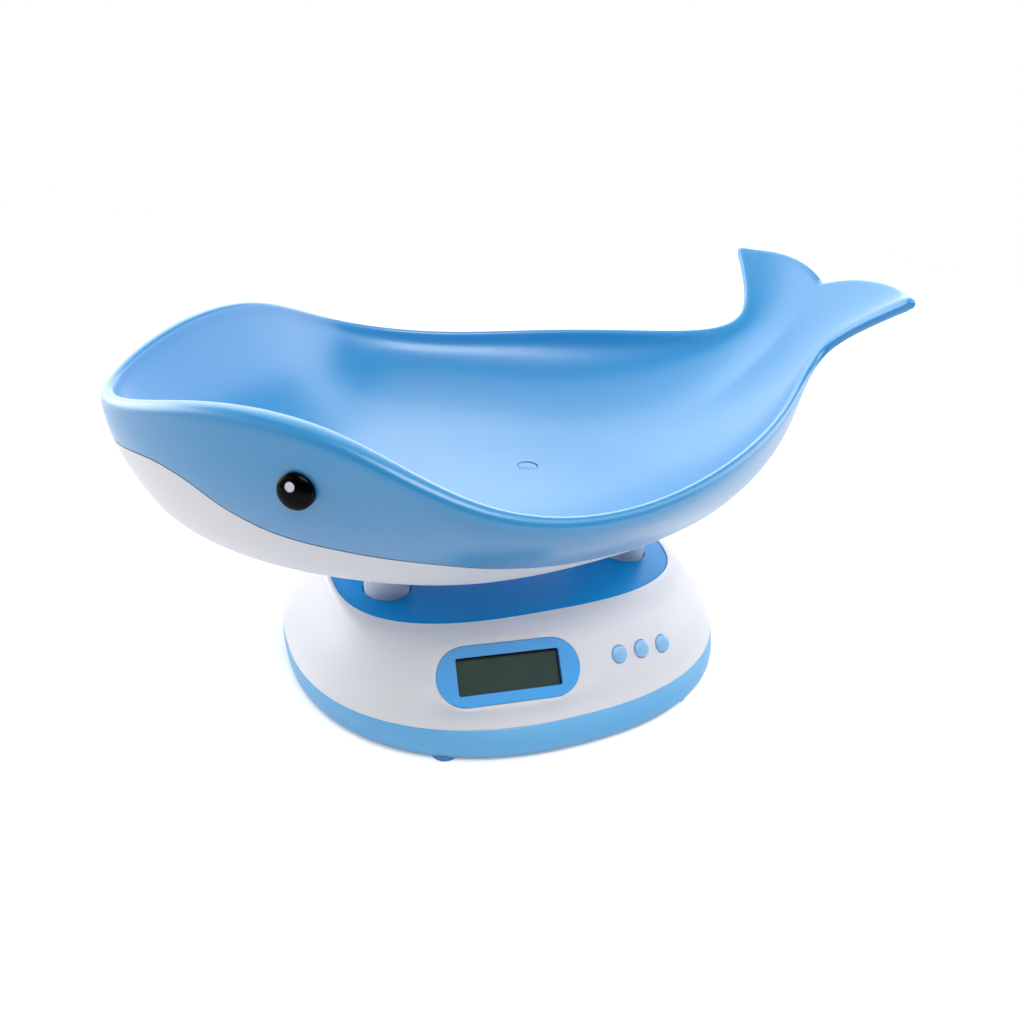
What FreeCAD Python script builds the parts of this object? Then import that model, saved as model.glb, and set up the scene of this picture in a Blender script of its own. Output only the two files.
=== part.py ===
import FreeCAD, Part
import math
import os

from FreeCAD import Matrix, Vector

# Digital baby weighing scale. Millimetres, +Z up, table at z = 0.
# +X runs towards the tail of the whale tray, -Y is the side with the display.

# --- tray: scooped whale shell -------------------------------------------
tray_reach = 256.0          # nose of the rim to the origin
tray_half_width = 176.0     # rim half width that the outline fractions refer to
floor_height = 140.0        # scoop floor above the table
keel_height = 107.0         # lowest control height of the belly
lip_radius = 4.0            # half thickness of the rolled rim
tray_wall = 2.6             # moulded wall of the tray and the belly
fluke_thickness = 9.0       # tail plate at its root
fluke_angle = 60.0          # tail plate above the horizontal
fluke_span = 94.0           # centre to tip
fluke_notch = 364.0         # notch, measured up the tail plate
fluke_bulge = 12.5          # rise of each rear edge above the notch, half way out
fluke_tip_rise = 4.0        # tips above the notch
fluke_tip_radius = 5.0      # rounding of the tips
fluke_edge_slope = 1.2      # outwards per millimetre up, side edges of the flukes
void_end = 212.0            # the hollow stops where the tail becomes a plate
seam_gap = 0.3              # shadow line between tray and belly

# One line per rim station, from the nose to the tail:
# rim (along, out, up), scoop centre line (along, up), keel (along, up),
# shoulder fullness, share of fluke. "along" and "out" are fractions of
# tray_reach and tray_half_width; heights are above the floor and the keel.
tray_stations = [
    (-1.000, 0.000, 73.0, -0.586, 6.0, -0.648, 14.0, 0.98, 0.0),
    (-1.000, 0.153, 73.0, -0.547, 5.0, -0.609, 12.0, 0.98, 0.0),
    (-0.844, 0.466, 98.5, -0.461, 3.0, -0.508, 5.0, 1.08, 0.0),
    (-0.594, 0.767, 98.5, -0.332, 1.0, -0.359, 2.0, 1.06, 0.0),
    (-0.367, 1.057, 64.0, -0.176, 0.0, -0.176, 0.0, 0.88, 0.0),
    (0.004, 1.000, 52.0, 0.078, 0.0, 0.078, 0.0, 0.86, 0.0),
    (0.387, 0.795, 65.0, 0.352, 4.0, 0.352, 7.0, 1.00, 0.0),
    (0.691, 0.472, 75.0, 0.594, 26.0, 0.625, 37.0, 1.00, 0.1),
    (0.875, 0.244, 86.0, 0.820, 70.0, 0.891, 89.0, 1.00, 0.5),
    (0.922, 0.318, 110.0, 0.938, 106.0, 0.973, 133.0, 1.00, 0.9),
]
tail_end = (0.987, 0.670, 1.023, 150.0)   # rim along, rim out, centre along, centre up

# Side view of the line where the white belly meets the blue tray.
seam_line = [
    (-300, 186), (-262, 190), (-238, 195), (-222, 191), (-202, 178), (-178, 168),
    (-140, 163), (-100, 160), (-60, 153), (-20, 144), (30, 138.5), (90, 138), (170, 147), (260, 160),
]

# --- eyes and floor plug ---------------------------------------------------
eye_along = -169.7
eye_height = 201.8
eye_radius = 10.9
eye_rise = 4.2              # crown of the eye above its rim
eye_proud = 0.8             # rim of the eye above the tray wall
eye_depth = 3.4
plug_along = 16.0
plug_radius = 7.1
plug_thickness = 2.4
press_gap = 0.1             # radial gap of pieces pushed into a hole

# --- base housings ---------------------------------------------------------
base_centre = 4.8           # along X
panel_power = 2.8           # exponent of the rounded panel outline
foot_height = 2.8
seam_height = 16.5
base_wall = 2.6
# (half length, half width, outline exponent, height) rings of the two housings
skirt_rings = [(169.6, 142.2, 2.30, 2.8), (171.2, 143.8, 2.30, 4.8), (171.5, 141.0, 2.30, 9.5),
               (171.0, 135.0, 2.30, 16.4)]
dome_rings = [
    (171.6, 135.6, 2.30, 16.5), (167.4, 133.2, 2.36, 26.0), (160.6, 129.2, 2.48, 37.0),
    (152.6, 122.8, 2.62, 48.0), (145.2, 114.8, 2.72, 57.5), (140.1, 107.0, 2.80, 64.0),
    (137.3, 98.0, 2.80, 67.6), (135.0, 87.5, 2.80, 69.3),
]
panel_half_length = 132.0
panel_half_width = 83.0
panel_top = 68.2
panel_thickness = 2.6
panel_gap = 0.3
panel_ledge = 6.0
panel_groove_inset = 3.0
panel_groove_width = 0.9
panel_groove_depth = 0.6

# --- pillars and weighing platform -----------------------------------------
pillar_radius = 17.7
pillar_wall = 2.6
pillar_along = 96.5
pillar_across = 23.0
pillar_gap = 1.0            # running gap in the panel's holes
pillar_web = 7.0            # solid top of each pillar below the belly
pillar_foot = 6.0           # solid bottom of each pillar
pillar_screw_offset = 10.5
boss_radius = 7.0
boss_split = {-96.5: 118.0, 96.5: 128.0}    # height where belly boss meets tray post
tray_screw = 30.0
frame_top = 46.5            # platform frame, under the pillars

# --- load cell ---------------------------------------------------------------
cell_length = 110.0
cell_width = 20.0
cell_height = 16.0
cell_bottom = 24.0
cell_hole_radius = 5.5
cell_hole_spacing = 13.0
cell_screw_inset = 9.0
cell_screw_pitch = 14.0
spacer_length = 28.0
spacer_thickness = 2.5
frame_thickness = 4.0
frame_rail_width = 14.0
frame_end_width = 26.0
short_screw = 12.0

# --- display -----------------------------------------------------------------
display_centre = (-40.2, -117.0, 51.6)
display_lean = 42.4         # degrees back from upright
display_yaw = -7.0          # degrees, follows the curved front
bezel_length = 97.0
bezel_width = 39.0
bezel_thickness = 5.5
bezel_proud = 0.3
bezel_gap = 0.25
window_length = 70.0
window_width = 24.2
window_corner = 1.5
window_recess = 3.0
window_lap = 2.0            # glass under each edge of the opening
window_thickness = 1.4
module_length = 82.0
module_width = 31.0
module_thickness = 3.6
facet_margin = 3.0          # flat rim of the housing round the bezel
facet_depth = 8.0

# --- buttons -----------------------------------------------------------------
button_centre = (59.2, -118.5, 49.2)
button_lean = 36.9
button_yaw = 7.0
button_tilt = -3.0          # slope of the row within its own plane
# name: (along the row, height of the housing surface there)
button_row = {"left": (-19.25, -0.2), "middle": (0.0, 0.0), "right": (19.25, -1.3)}
button_radius = 5.8
button_gap = 0.35
button_rim = 0.5            # rim of the cap above the housing
button_crown = 1.3          # crown of the cap above its rim
button_flange = 1.6
button_flange_thickness = 1.2
button_seat = 4.6           # depth of the flat the flanges rest against
button_stem_radius = 2.0
button_stem = 1.8
button_travel = 0.7
stop_gap = 0.1
switch_gap = 0.8            # stem to plunger at rest
switch_side = 6.0
switch_height = 3.4
plunger_radius = 1.7
plunger_height = 0.8
button_board = (66.0, 15.0)
board_post_along = 30.8

# --- small parts -----------------------------------------------------------
housing_screw_places = [(-121.2, -60.0), (-121.2, 60.0), (130.8, -60.0), (130.8, 60.0)]
housing_boss_radius = 5.5
foot_places = {"front_head": (-84.0, -119.0), "back_head": (-84.0, 119.0),
               "front_tail": (93.6, -119.0), "back_tail": (93.6, 119.0)}
foot_radius = 8.0
foot_recess = 1.0
screw_head_radius = 3.4
screw_head_height = 2.2
screw_radius = 1.9
screw_clearance = 0.2       # radial, in the clamped piece
screw_bite = 0.05           # radial, in the threaded piece
access_gap = 0.6            # radial, round a sunk screw head
batteries_across = 4
battery_radius = 5.1
battery_length = 44.5
battery_pitch = 10.9
box_centre = (3.0, 70.0)
box_room = (54.5, 44.6)     # inside of the battery compartment
box_wall = 1.8
box_top = 17.6
cover_gap = 0.4
cover_thickness = 2.0
hinge_pin_radius = 0.8
hinge_pin_length = 1.6
hinge_pin_clearance = 0.1
board_size = (76.0, 44.0)
board_place = (-78.0, -57.0)
board_low = 11.0
board_thickness = 1.6
eye_sink = 1.7              # depth of the pocket for the eye
panel_seat = 3.0            # thickness of the ledge under the panel
panel_peg_radius = 1.6
panel_peg = 2.4
panel_pegs = [(base_centre, 80.0), (base_centre, -80.0), (base_centre - 129.0, 0.0),
              (base_centre + 129.0, 0.0)]
pedestal_top = 5.0          # solid top of the pedestal under the load cell
housing_screw_start = 11.0
housing_screw = 14.0

UP = Vector(0, 0, 1)


# --- general shapes ----------------------------------------------------------
def cylinder(radius, low, high, x=0.0, y=0.0):
    return Part.makeCylinder(radius, high - low, Vector(x, y, low), UP)


def block(x0, x1, y0, y1, z0, z1):
    return Part.makeBox(x1 - x0, y1 - y0, z1 - z0, Vector(x0, y0, z0))


def merged(shapes):
    result = shapes[0].fuse(shapes[1:]) if len(shapes) > 1 else shapes[0]
    return result.removeSplitter()


def compound(shapes):
    return Part.makeCompound(shapes)


def placed(shape, frame):
    """Move a shape built about the origin to a local frame (origin, x, y, z)."""
    origin, x, y, z = frame
    matrix = Matrix(x.x, y.x, z.x, origin.x, x.y, y.y, z.y, origin.y, x.z, y.z, z.z, origin.z, 0, 0, 0, 1)
    copy = shape.copy()
    copy.Placement = FreeCAD.Placement(matrix).multiply(copy.Placement)
    return copy


def mirrored(shape):
    return shape.mirror(Vector(0, 0, 0), Vector(0, 1, 0))


def outline_points(half_length, half_width, power, height, count=28):
    points = []
    for k in range(count):
        angle = 2 * math.pi * k / count
        c, s = math.cos(angle), math.sin(angle)
        x = half_length * math.copysign(abs(c) ** (2 / power), c)
        y = half_width * math.copysign(abs(s) ** (2 / power), s)
        points.append(Vector(base_centre + x, y, height))
    return points


def outline_wire(half_length, half_width, power, height):
    curve = Part.BSplineCurve()
    curve.interpolate(Points=outline_points(half_length, half_width, power, height), PeriodicFlag=True)
    return Part.Wire(curve.toShape())


def ring_solid(rings, inset=0.0):
    wires = [outline_wire(a - inset, b - inset, power, z) for a, b, power, z in rings]
    return Part.makeLoft(wires, True, False)


def outline_prism(half_length, half_width, power, low, high):
    face = Part.Face(outline_wire(half_length, half_width, power, low))
    return face.extrude(Vector(0, 0, high - low))


def slot_prism(length, width, corner, low, high):
    """Rounded rectangle centred on the origin, extruded from low to high."""
    corner = min(corner, width / 2 - 0.01)
    x, y = length / 2 - corner, width / 2 - corner
    edges = []
    corners = [(x, y, 0), (-x, y, 90), (-x, -y, 180), (x, -y, 270)]
    ends = []
    for cx, cy, start in corners:
        arc = []
        for turn in (0, 45, 90):
            a = math.radians(start + turn)
            arc.append(Vector(cx + corner * math.cos(a), cy + corner * math.sin(a), low))
        edges.append(Part.Arc(*arc).toShape())
        ends.append((arc[0], arc[2]))
    lines = []
    for k in range(4):
        a, b = ends[k][1], ends[(k + 1) % 4][0]
        if a.distanceToPoint(b) > 1e-4:
            lines.append(Part.makeLine(a, b))
    wire = Part.Wire(Part.__sortEdges__(edges + lines))
    return Part.Face(wire).extrude(Vector(0, 0, high - low))


def screw(place, direction, length):
    """Pan-head screw: the head sits behind place, the shank runs along direction."""
    head = Part.makeCylinder(screw_head_radius, screw_head_height, place - direction * screw_head_height, direction)
    shank = Part.makeCylinder(screw_radius, length, place, direction)
    slot = Part.makeCylinder(screw_head_radius * 0.35, screw_head_height * 0.5,
                             place - direction * screw_head_height, direction)
    return merged([head, shank]).cut(slot)


def write(shape, name):
    """Export one sub-part, moved so that the origin is under the middle of the whole part."""
    shape = shape.copy()
    shape.translate(Vector(-middle_x, 0, 0))
    solids = shape.Solids
    out = solids[0] if len(solids) == 1 else Part.makeCompound(solids)
    if not solids or not out.isValid():
        print("WARNING", name, len(solids), "valid", out.isValid())
    out.exportStep(os.path.join("parts", name + ".step"))
    box = out.BoundBox
    print("%-22s %2d solids %10.0f mm3  %6.1f %6.1f %6.1f" % (
        name, len(solids), out.Volume, box.XLength, box.YLength, box.ZLength))


# --- the whale ------------------------------------------------------------------
def plate_axes():
    angle = math.radians(fluke_angle)
    through = Vector(math.sin(angle), 0, -math.cos(angle))    # front face to back face
    rising = Vector(math.cos(angle), 0, math.sin(angle))      # up the tail plate
    return through, rising


def full_stations():
    """Stations in millimetres; the last one lies across the tail plate."""
    through, rising = plate_axes()
    rows = []
    for along, out, up, sc_along, sc_up, keel_along, keel_up, shoulder, fluke in tray_stations:
        rows.append((
            Vector(along * tray_reach, out * tray_half_width, floor_height + up),
            Vector(sc_along * tray_reach, 0, floor_height + sc_up),
            Vector(keel_along * tray_reach, 0, keel_height + keel_up),
            shoulder, fluke))
    rim_along, rim_out, centre_along, centre_up = tail_end
    centre = Vector(centre_along * tray_reach, 0, floor_height + centre_up)
    x = rim_along * tray_reach
    z = (centre.dot(rising) - rising.x * x) / rising.z
    rows.append((Vector(x, rim_out * tray_half_width, z), centre,
                 centre + through * fluke_thickness, 1.0, 1.0))
    return rows


scoop_share = (0.0, 0.30, 0.58, 0.80, 0.925)       # across, centre to rim
scoop_rise = (0.0, 0.0, 0.15, 0.42, 0.72)
hull_share = (0.97, 0.89, 0.69, 0.33, 0.0)         # across, rim to keel
hull_rise = (0.75, 0.50, 0.05, 0.0, 0.0)
plate_rise = (0.86, 0.62, 0.28, 0.0, 0.0)          # hull rows where the tail is a plate
first_tail_station = 6                              # from here the lines turn up to the tail
# How far each control row moves for a wall of 1: (outwards, upwards)
wall_shift = ((0, -1), (0, -1), (0.3, -0.95), (0.65, -0.75), (0.9, -0.45), (1, 0), (1, -1), (-1, -1),
              (-1, 0), (-1, 0), (-0.9, 0.35), (-0.4, 0.95), (0, 1), (0, 1))


def across_direction(rows, k):
    """Plan direction that points out of the rim at station k."""
    if k <= 1:
        return Vector(-1, 0, 0)
    if k >= len(rows) - 3:
        return Vector(0, 1, 0)
    step = rows[k + 1][0] - rows[k - 1][0]
    return Vector(-step.y, step.x, 0).normalize()


def lengthwise(rows, k, item):
    """Direction of the scoop line (item 1) or the keel (item 2) at station k."""
    if k < first_tail_station:
        return Vector(1, 0, 0)
    if k == len(rows) - 1:
        return plate_axes()[1]
    return (rows[k + 1][item] - rows[k - 1][item]).normalize()


def between(start, end, along, share, rise):
    """From start to end: share of the way across and along, rise of the way off that line."""
    span = end - start
    lengthways = along * span.dot(along)
    across = Vector(0, span.y, 0)
    return start + (lengthways + across) * share + (span - lengthways - across) * rise


def section(rows, k, inset):
    """Control points of one section, from the scoop centre over the rim to the keel."""
    rim, centre, keel, shoulder, fluke = rows[k]
    through, rising = plate_axes()
    out = (across_direction(rows, k) * (1 - fluke) + through * fluke).normalize()
    away = (Vector(0, 0, -1) * (1 - fluke) + Vector(0, -1, 0) * fluke).normalize()
    inner, outer = rim - out * lip_radius, rim + out * lip_radius
    inner_wall, outer_wall = inner + away * (3 * lip_radius), outer + away * (3 * lip_radius)
    along = lengthwise(rows, k, 1)
    points = [between(centre, inner_wall, along, share, rise)
              for share, rise in zip(scoop_share, scoop_rise)]
    points += [inner_wall, inner, outer, outer_wall]
    along = lengthwise(rows, k, 2)
    for row, (share, rise) in enumerate(zip(hull_share, hull_rise)):
        fullness = 1.0 if row == 4 else (1 + shoulder) / 2 if row == 0 else shoulder
        rise = rise * (1 - fluke) + plate_rise[row] * fluke
        share = share * (fullness * (1 - fluke) + fluke)
        points.append(between(keel, outer_wall, along, share, rise))
    moved_points = []
    for point, (sideways, upwards) in zip(points, wall_shift):
        shift = out * (sideways * inset) + UP * (upwards * inset)
        if k == 0:
            shift.y = 0
        if fluke == 1:
            shift = shift - rising * shift.dot(rising)
        moved_points.append(point + shift)
    return moved_points


def clamped_patch(net):
    """Cubic B-spline surface whose control net is the given grid."""
    def spacing(count):
        return list(range(count - 2)), [4] + [1] * (count - 4) + [4]
    u_knots, u_mults = spacing(len(net))
    v_knots, v_mults = spacing(len(net[0]))
    surface = Part.BSplineSurface()
    surface.buildFromPolesMultsKnots(net, u_mults, v_mults, u_knots, v_knots, False, False, 3, 3)
    return surface.toShape()


def whale_solid(inset=0.0):
    """Closed body between the scoop, the rolled rim and the belly."""
    rows = full_stations()
    net = [section(rows, k, inset) for k in range(len(rows))]
    far = clamped_patch(net)
    near = clamped_patch([[Vector(p.x, -p.y, p.z) for p in line] for line in net])
    ends = []
    for patch in (far, near):
        ends.append(min(patch.Edges, key=lambda e: -e.CenterOfMass.x - e.CenterOfMass.z))
    cap = Part.Face(Part.Wire(Part.__sortEdges__(ends)))
    shell = Part.makeShell([far, near, cap])
    shell.sewShape()
    solid = Part.makeSolid(Part.Shell(shell.Faces))
    if solid.Volume < 0:
        solid.reverse()
    return solid


def fluke_keep():
    """Everything in front of the rear edges of the two flukes."""
    through, rising = plate_axes()
    across = Vector(0, 1, 0)

    def at(y, up):
        return across * y + rising * up

    tip_up = fluke_notch + fluke_tip_rise
    crest_out, crest_up = fluke_span * 0.52, fluke_notch + fluke_bulge
    corner = Vector(fluke_span, tip_up, 0)
    back = (Vector(crest_out, crest_up, 0) - corner).normalize()
    down = Vector(-fluke_edge_slope, -1, 0).normalize()
    half = math.acos(back.dot(down)) / 2
    reach = fluke_tip_radius / math.tan(half)
    clear = fluke_tip_radius / math.sin(half) - fluke_tip_radius
    start, end = corner + back * reach, corner + down * reach
    middle = corner + (back + down).normalize() * clear
    low = -300
    wide = fluke_span + 260
    edges = []
    for side in (1, -1):
        rear = [at(0, fluke_notch), at(side * crest_out, crest_up), at(side * start.x, start.y)]
        tip = [at(side * p.x, p.y) for p in (start, middle, end)]
        outer = at(side * wide, tip_up - 60)
        edges += [Part.Arc(*rear).toShape(), Part.Arc(*tip).toShape(),
                  Part.makeLine(tip[-1], outer), Part.makeLine(outer, at(side * wide, low))]
    edges.append(Part.makeLine(at(wide, low), at(-wide, low)))
    wire = Part.Wire(Part.__sortEdges__(edges))
    face = Part.Face(wire)
    face.translate(through * -600)
    return face.extrude(through * 1200)


def seam_block(lift=0.0):
    """Everything below the belly seam."""
    curve = Part.BSplineCurve()
    curve.interpolate(Points=[Vector(x, -300, z + lift) for x, z in seam_line])
    top = curve.toShape()
    start, end = curve.StartPoint, curve.EndPoint
    low = -50
    edges = [top, Part.makeLine(end, Vector(end.x, -300, low)),
             Part.makeLine(Vector(end.x, -300, low), Vector(start.x, -300, low)),
             Part.makeLine(Vector(start.x, -300, low), start)]
    face = Part.Face(Part.Wire(Part.__sortEdges__(edges)))
    return face.extrude(Vector(0, 600, 0))


def line_hits(solid, start, end):
    """Ends of the first stretch of a line that lies in the solid, nearest to start first."""
    inside = Part.makeLine(start, end).common(solid)
    points = [v.Point for v in inside.Vertexes]
    points.sort(key=lambda p: p.distanceToPoint(start))
    return points



def lens(radius, rim, crown, low):
    """Cylinder about z with a domed top: rim and crown are heights above z = 0."""
    body = cylinder(radius, low, rim)
    rise = crown
    ball = (radius * radius + rise * rise) / (2 * rise)
    cap = Part.makeSphere(ball, Vector(0, 0, rim + rise - ball))
    return merged([body, cap.common(cylinder(radius, rim, rim + rise + 1))])


def plane_frame(centre, yaw, lean, tilt=0.0):
    """Local frame of a panel on the front of the base; its z axis points outwards."""
    turn, back, roll = math.radians(yaw), math.radians(lean), math.radians(tilt)
    along = Vector(math.cos(turn), math.sin(turn), 0)
    inward = Vector(-math.sin(turn), math.cos(turn), 0)
    rising = inward * math.sin(back) + UP * math.cos(back)
    x = along * math.cos(roll) + rising * math.sin(roll)
    y = rising * math.cos(roll) - along * math.sin(roll)
    return Vector(*centre), x, y, x.cross(y)


display_frame = plane_frame(display_centre, display_yaw, display_lean)
button_frame = plane_frame(button_centre, button_yaw, button_lean, button_tilt)


def pillar_places():
    return [(x, y) for x in (-pillar_along, pillar_along) for y in (-pillar_across, pillar_across)]


# --- tray and belly ----------------------------------------------------------
def eye_frame(side):
    """Frame on the hull at the eye; z points out of the tray."""
    far = max(whale.Faces, key=lambda f: f.CenterOfMass.y)
    surface = far.Surface
    u, v = surface.parameter(Vector(eye_along, 124.0, eye_height))
    point, normal = surface.value(u, v), far.normalAt(u, v)
    x = UP.cross(normal).normalize()
    y = normal.cross(x)
    if side < 0:
        point, normal, x = [Vector(q.x, -q.y, q.z) for q in (point, normal, x)]
        x = x * -1
        y = normal.cross(x)
    return point, x, y, normal


def tray_floor(x, y):
    return line_hits(whale, Vector(x, y, 60), Vector(x, y, 260))[1].z


def belly_bottom(x, y):
    return line_hits(whale, Vector(x, y, 60), Vector(x, y, 260))[0].z


def make_shells():
    """The blue tray and the white belly, with the posts that join them."""
    body = whale.common(fluke_keep())
    upper = body.cut(seam_block()).cut(hollow)
    lower = sorted(body.common(seam_block()).cut(hollow).Solids, key=lambda s: s.BoundBox.ZMin)
    tray = upper.fuse(lower[1:])
    belly = sorted(body.common(seam_block(-seam_gap)).cut(hollow).Solids, key=lambda s: s.BoundBox.ZMin)[0]
    for x, y in pillar_places():
        split = boss_split[x]
        core = cylinder(boss_radius, belly_bottom(x, y) + 0.5, tray_floor(x, y) - 0.5, x, y).common(whale)
        low = belly_bottom(x, y)
        post = core.common(cylinder(boss_radius + 1, split + 0.1, 200, x, y))
        boss = core.common(cylinder(boss_radius + 1, 60, split, x, y))
        tip = low - pillar_web + tray_screw
        tray = tray.fuse(post).cut(cylinder(screw_radius + screw_bite, split - 1, tip + 1, x, y))
        belly = belly.fuse(boss).cut(cylinder(screw_radius + screw_clearance, low - 5, split + 1, x, y))
    for side in (1, -1):
        pocket = placed(cylinder(eye_radius + press_gap, -eye_sink, 8), eye_frame(side))
        tray = tray.cut(pocket)
    floor = tray_floor(plug_along, 0)
    tray = tray.cut(cylinder(plug_radius + press_gap, floor - 6, floor + 6, plug_along, 0))
    return tray, belly


def make_eye(side):
    return placed(lens(eye_radius, eye_proud, eye_rise, -eye_sink), eye_frame(side))


def make_plug():
    """Round plug pushed into the floor from below; its flange rests under the tray."""
    floor = tray_floor(plug_along, 0)
    top = floor - 0.25
    low = floor - tray_wall - 0.35
    stem = cylinder(plug_radius, low, top, plug_along, 0)
    flange = cylinder(plug_radius + 2.4, low - 1.2, low, plug_along, 0)
    dish = Part.makeSphere(40, Vector(plug_along, 0, top + 40 - 0.5))
    return merged([stem, flange]).cut(dish)


# --- pillars and platform ----------------------------------------------------
def make_pillar(x, y):
    """Tube with a solid foot and a solid top that follows the belly."""
    low, high = frame_top, belly_bottom(x, y)
    raised = whale.copy()
    raised.translate(Vector(0, 0, -0.05))
    tube = cylinder(pillar_radius, low, high + 14, x, y)
    bore = cylinder(pillar_radius - pillar_wall, low + pillar_foot, high - pillar_web, x, y)
    tube = tube.cut(bore).cut(raised)
    tube = max(tube.Solids, key=lambda q: q.Volume)
    tube = tube.cut(cylinder(screw_head_radius + 1.2, low - 1, low + pillar_foot + 1, x, y))
    tube = tube.cut(cylinder(screw_radius + screw_clearance, high - pillar_web - 1, high + 8, x, y))
    for side in (-1, 1):
        pilot = cylinder(screw_radius + screw_bite, low - 1, low + pillar_foot - 1,
                         x + side * pillar_screw_offset, y)
        tube = tube.cut(pilot)
    return tube


def cell_holes(end):
    """X of the two screws at one end of the load cell."""
    edge = base_centre + end * (cell_length / 2 - cell_screw_inset)
    return [edge, edge - end * cell_screw_pitch]


def make_platform_frame():
    low = frame_top - frame_thickness
    half = frame_rail_width / 2
    parts = []
    for side in (-1, 1):
        y = side * pillar_across
        parts.append(block(-pillar_along, pillar_along, y - half, y + half, low, frame_top))
    for x in (-pillar_along, pillar_along):
        half = frame_end_width / 2
        parts.append(block(x - half, x + half, -pillar_across, pillar_across, low, frame_top))
    end = base_centre + cell_length / 2
    parts.append(block(end - spacer_length - 2, end + 2, -pillar_across, pillar_across, low, frame_top))
    for x, y in pillar_places():
        parts.append(cylinder(pillar_radius - 0.4, low, frame_top, x, y))
    frame = merged(parts)
    for x, y in pillar_places():
        frame = frame.cut(cylinder(screw_head_radius + 1.2, low - 1, frame_top + 1, x, y))
        for side in (-1, 1):
            frame = frame.cut(cylinder(screw_radius + screw_clearance, low - 1, frame_top + 1,
                                       x + side * pillar_screw_offset, y))
    for x in cell_holes(1):
        frame = frame.cut(cylinder(screw_radius + screw_clearance, low - 1, frame_top + 1, x, 0))
    return frame


def make_load_cell():
    """Bending beam with the usual double bore and four threaded holes."""
    x0 = base_centre - cell_length / 2
    half = cell_width / 2
    top = cell_bottom + cell_height
    bar = block(x0, x0 + cell_length, -half, half, cell_bottom, top)
    middle = cell_bottom + cell_height / 2
    for side in (-1, 1):
        start = Vector(base_centre + side * cell_hole_spacing / 2, -half - 1, middle)
        bar = bar.cut(Part.makeCylinder(cell_hole_radius, cell_width + 2, start, Vector(0, 1, 0)))
    bore = screw_radius + screw_bite
    for x in cell_holes(-1):
        bar = bar.cut(cylinder(bore, cell_bottom - 1, cell_bottom + 8, x, 0))
    for x in cell_holes(1):
        bar = bar.cut(cylinder(bore, top - 8, top + 1, x, 0))
    return bar


def make_spacer(end):
    half = cell_width / 2
    edge = base_centre + end * cell_length / 2
    x0, x1 = sorted((edge, edge - end * spacer_length))
    low = cell_bottom - spacer_thickness if end < 0 else cell_bottom + cell_height
    plate = block(x0, x1, -half, half, low, low + spacer_thickness)
    for x in cell_holes(end):
        plate = plate.cut(cylinder(screw_radius + screw_clearance, low - 1, low + spacer_thickness + 1, x, 0))
    return plate


def cell_screws(end):
    down = end > 0
    start = frame_top if down else cell_bottom - spacer_thickness - pedestal_top
    direction = Vector(0, 0, -1 if down else 1)
    return compound([screw(Vector(x, 0, start), direction, short_screw) for x in cell_holes(end)])


# --- housings ------------------------------------------------------------------
def make_top_panel():
    low = panel_top - panel_thickness
    panel = outline_prism(panel_half_length, panel_half_width, panel_power, low, panel_top)
    inset = panel_groove_inset
    outer = outline_prism(panel_half_length - inset, panel_half_width - inset, panel_power,
                          panel_top - panel_groove_depth, panel_top + 1)
    inset += panel_groove_width
    inner = outline_prism(panel_half_length - inset, panel_half_width - inset, panel_power,
                          panel_top - panel_groove_depth - 1, panel_top + 2)
    panel = panel.cut(outer.cut(inner))
    for x, y in pillar_places():
        panel = panel.cut(cylinder(pillar_radius + pillar_gap, low - 1, panel_top + 1, x, y))
    pegs = [cylinder(panel_peg_radius, low - panel_peg, low + 0.5, x, y) for x, y in panel_pegs]
    return merged([panel] + pegs)


def make_upper_housing():
    """White dome with the seat of the panel, the display facet and the button holes."""
    outer = ring_solid(dome_rings)
    rings = [(a, b, power, z) for a, b, power, z in dome_rings if z < 60]
    a, b, power, z = rings[0]
    a1, b1, power1, z1 = dome_rings[5]
    roof = panel_top - panel_thickness - panel_seat
    inner_rings = [(a, b, power, z - 0.5)] + rings[1:] + [(a1 + 1.5, b1 + 1.5, power1, roof)]
    inner = ring_solid(inner_rings, base_wall)
    facet = placed(slot_prism(bezel_length + 2 * facet_margin, bezel_width + 2 * facet_margin, 40,
                              -facet_depth, 0), display_frame)
    seat = slot_prism(2 * board_post_along + 10, 2 * (button_radius + button_flange) + 5, 40,
                      -button_seat, 6)
    seat = placed(seat, button_frame).common(outer)
    dome = outer.cut(inner)
    dome = dome.cut(placed(slot_prism(bezel_length + 2 * facet_margin, bezel_width + 2 * facet_margin,
                                      40, 0, 12), display_frame))
    posts = []
    for x, y in housing_screw_places:
        posts.append(cylinder(housing_boss_radius, seam_height + 0.1, 60, x, y).common(outer))
    for side in (-1, 1):
        post = cylinder(2.5, -button_seat - board_drop, -2, side * board_post_along, 0)
        posts.append(placed(post, button_frame).common(outer))
    dome = merged([dome, facet, seat] + posts)
    low = panel_top - panel_thickness
    dome = dome.cut(outline_prism(panel_half_length + panel_gap, panel_half_width + panel_gap,
                                  panel_power, low, 90))
    dome = dome.cut(outline_prism(panel_half_length - panel_ledge, panel_half_width - panel_ledge,
                                  panel_power, roof - 4, 90))
    for x, y in panel_pegs:
        dome = dome.cut(cylinder(panel_peg_radius + press_gap, roof - 1, 90, x, y))
    for x, y in housing_screw_places:
        dome = dome.cut(cylinder(screw_radius + screw_bite, 16, housing_screw_start + housing_screw + 1, x, y))
    pocket = slot_prism(bezel_length + 2 * bezel_gap, bezel_width + 2 * bezel_gap, 40,
                        bezel_proud - bezel_thickness, 14)
    opening = slot_prism(module_length + 1, module_width + 1, 1.5, -facet_depth - 12, 0)
    dome = dome.cut(placed(pocket, display_frame)).cut(placed(opening, display_frame))
    for along, level in button_row.values():
        hole = cylinder(button_radius + button_gap, -20, 12, along, 0)
        room = cylinder(button_radius + button_flange + 0.5, -20, -button_seat, along, 0)
        dome = dome.cut(placed(merged([hole, room]), button_frame))
    return dome


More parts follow.
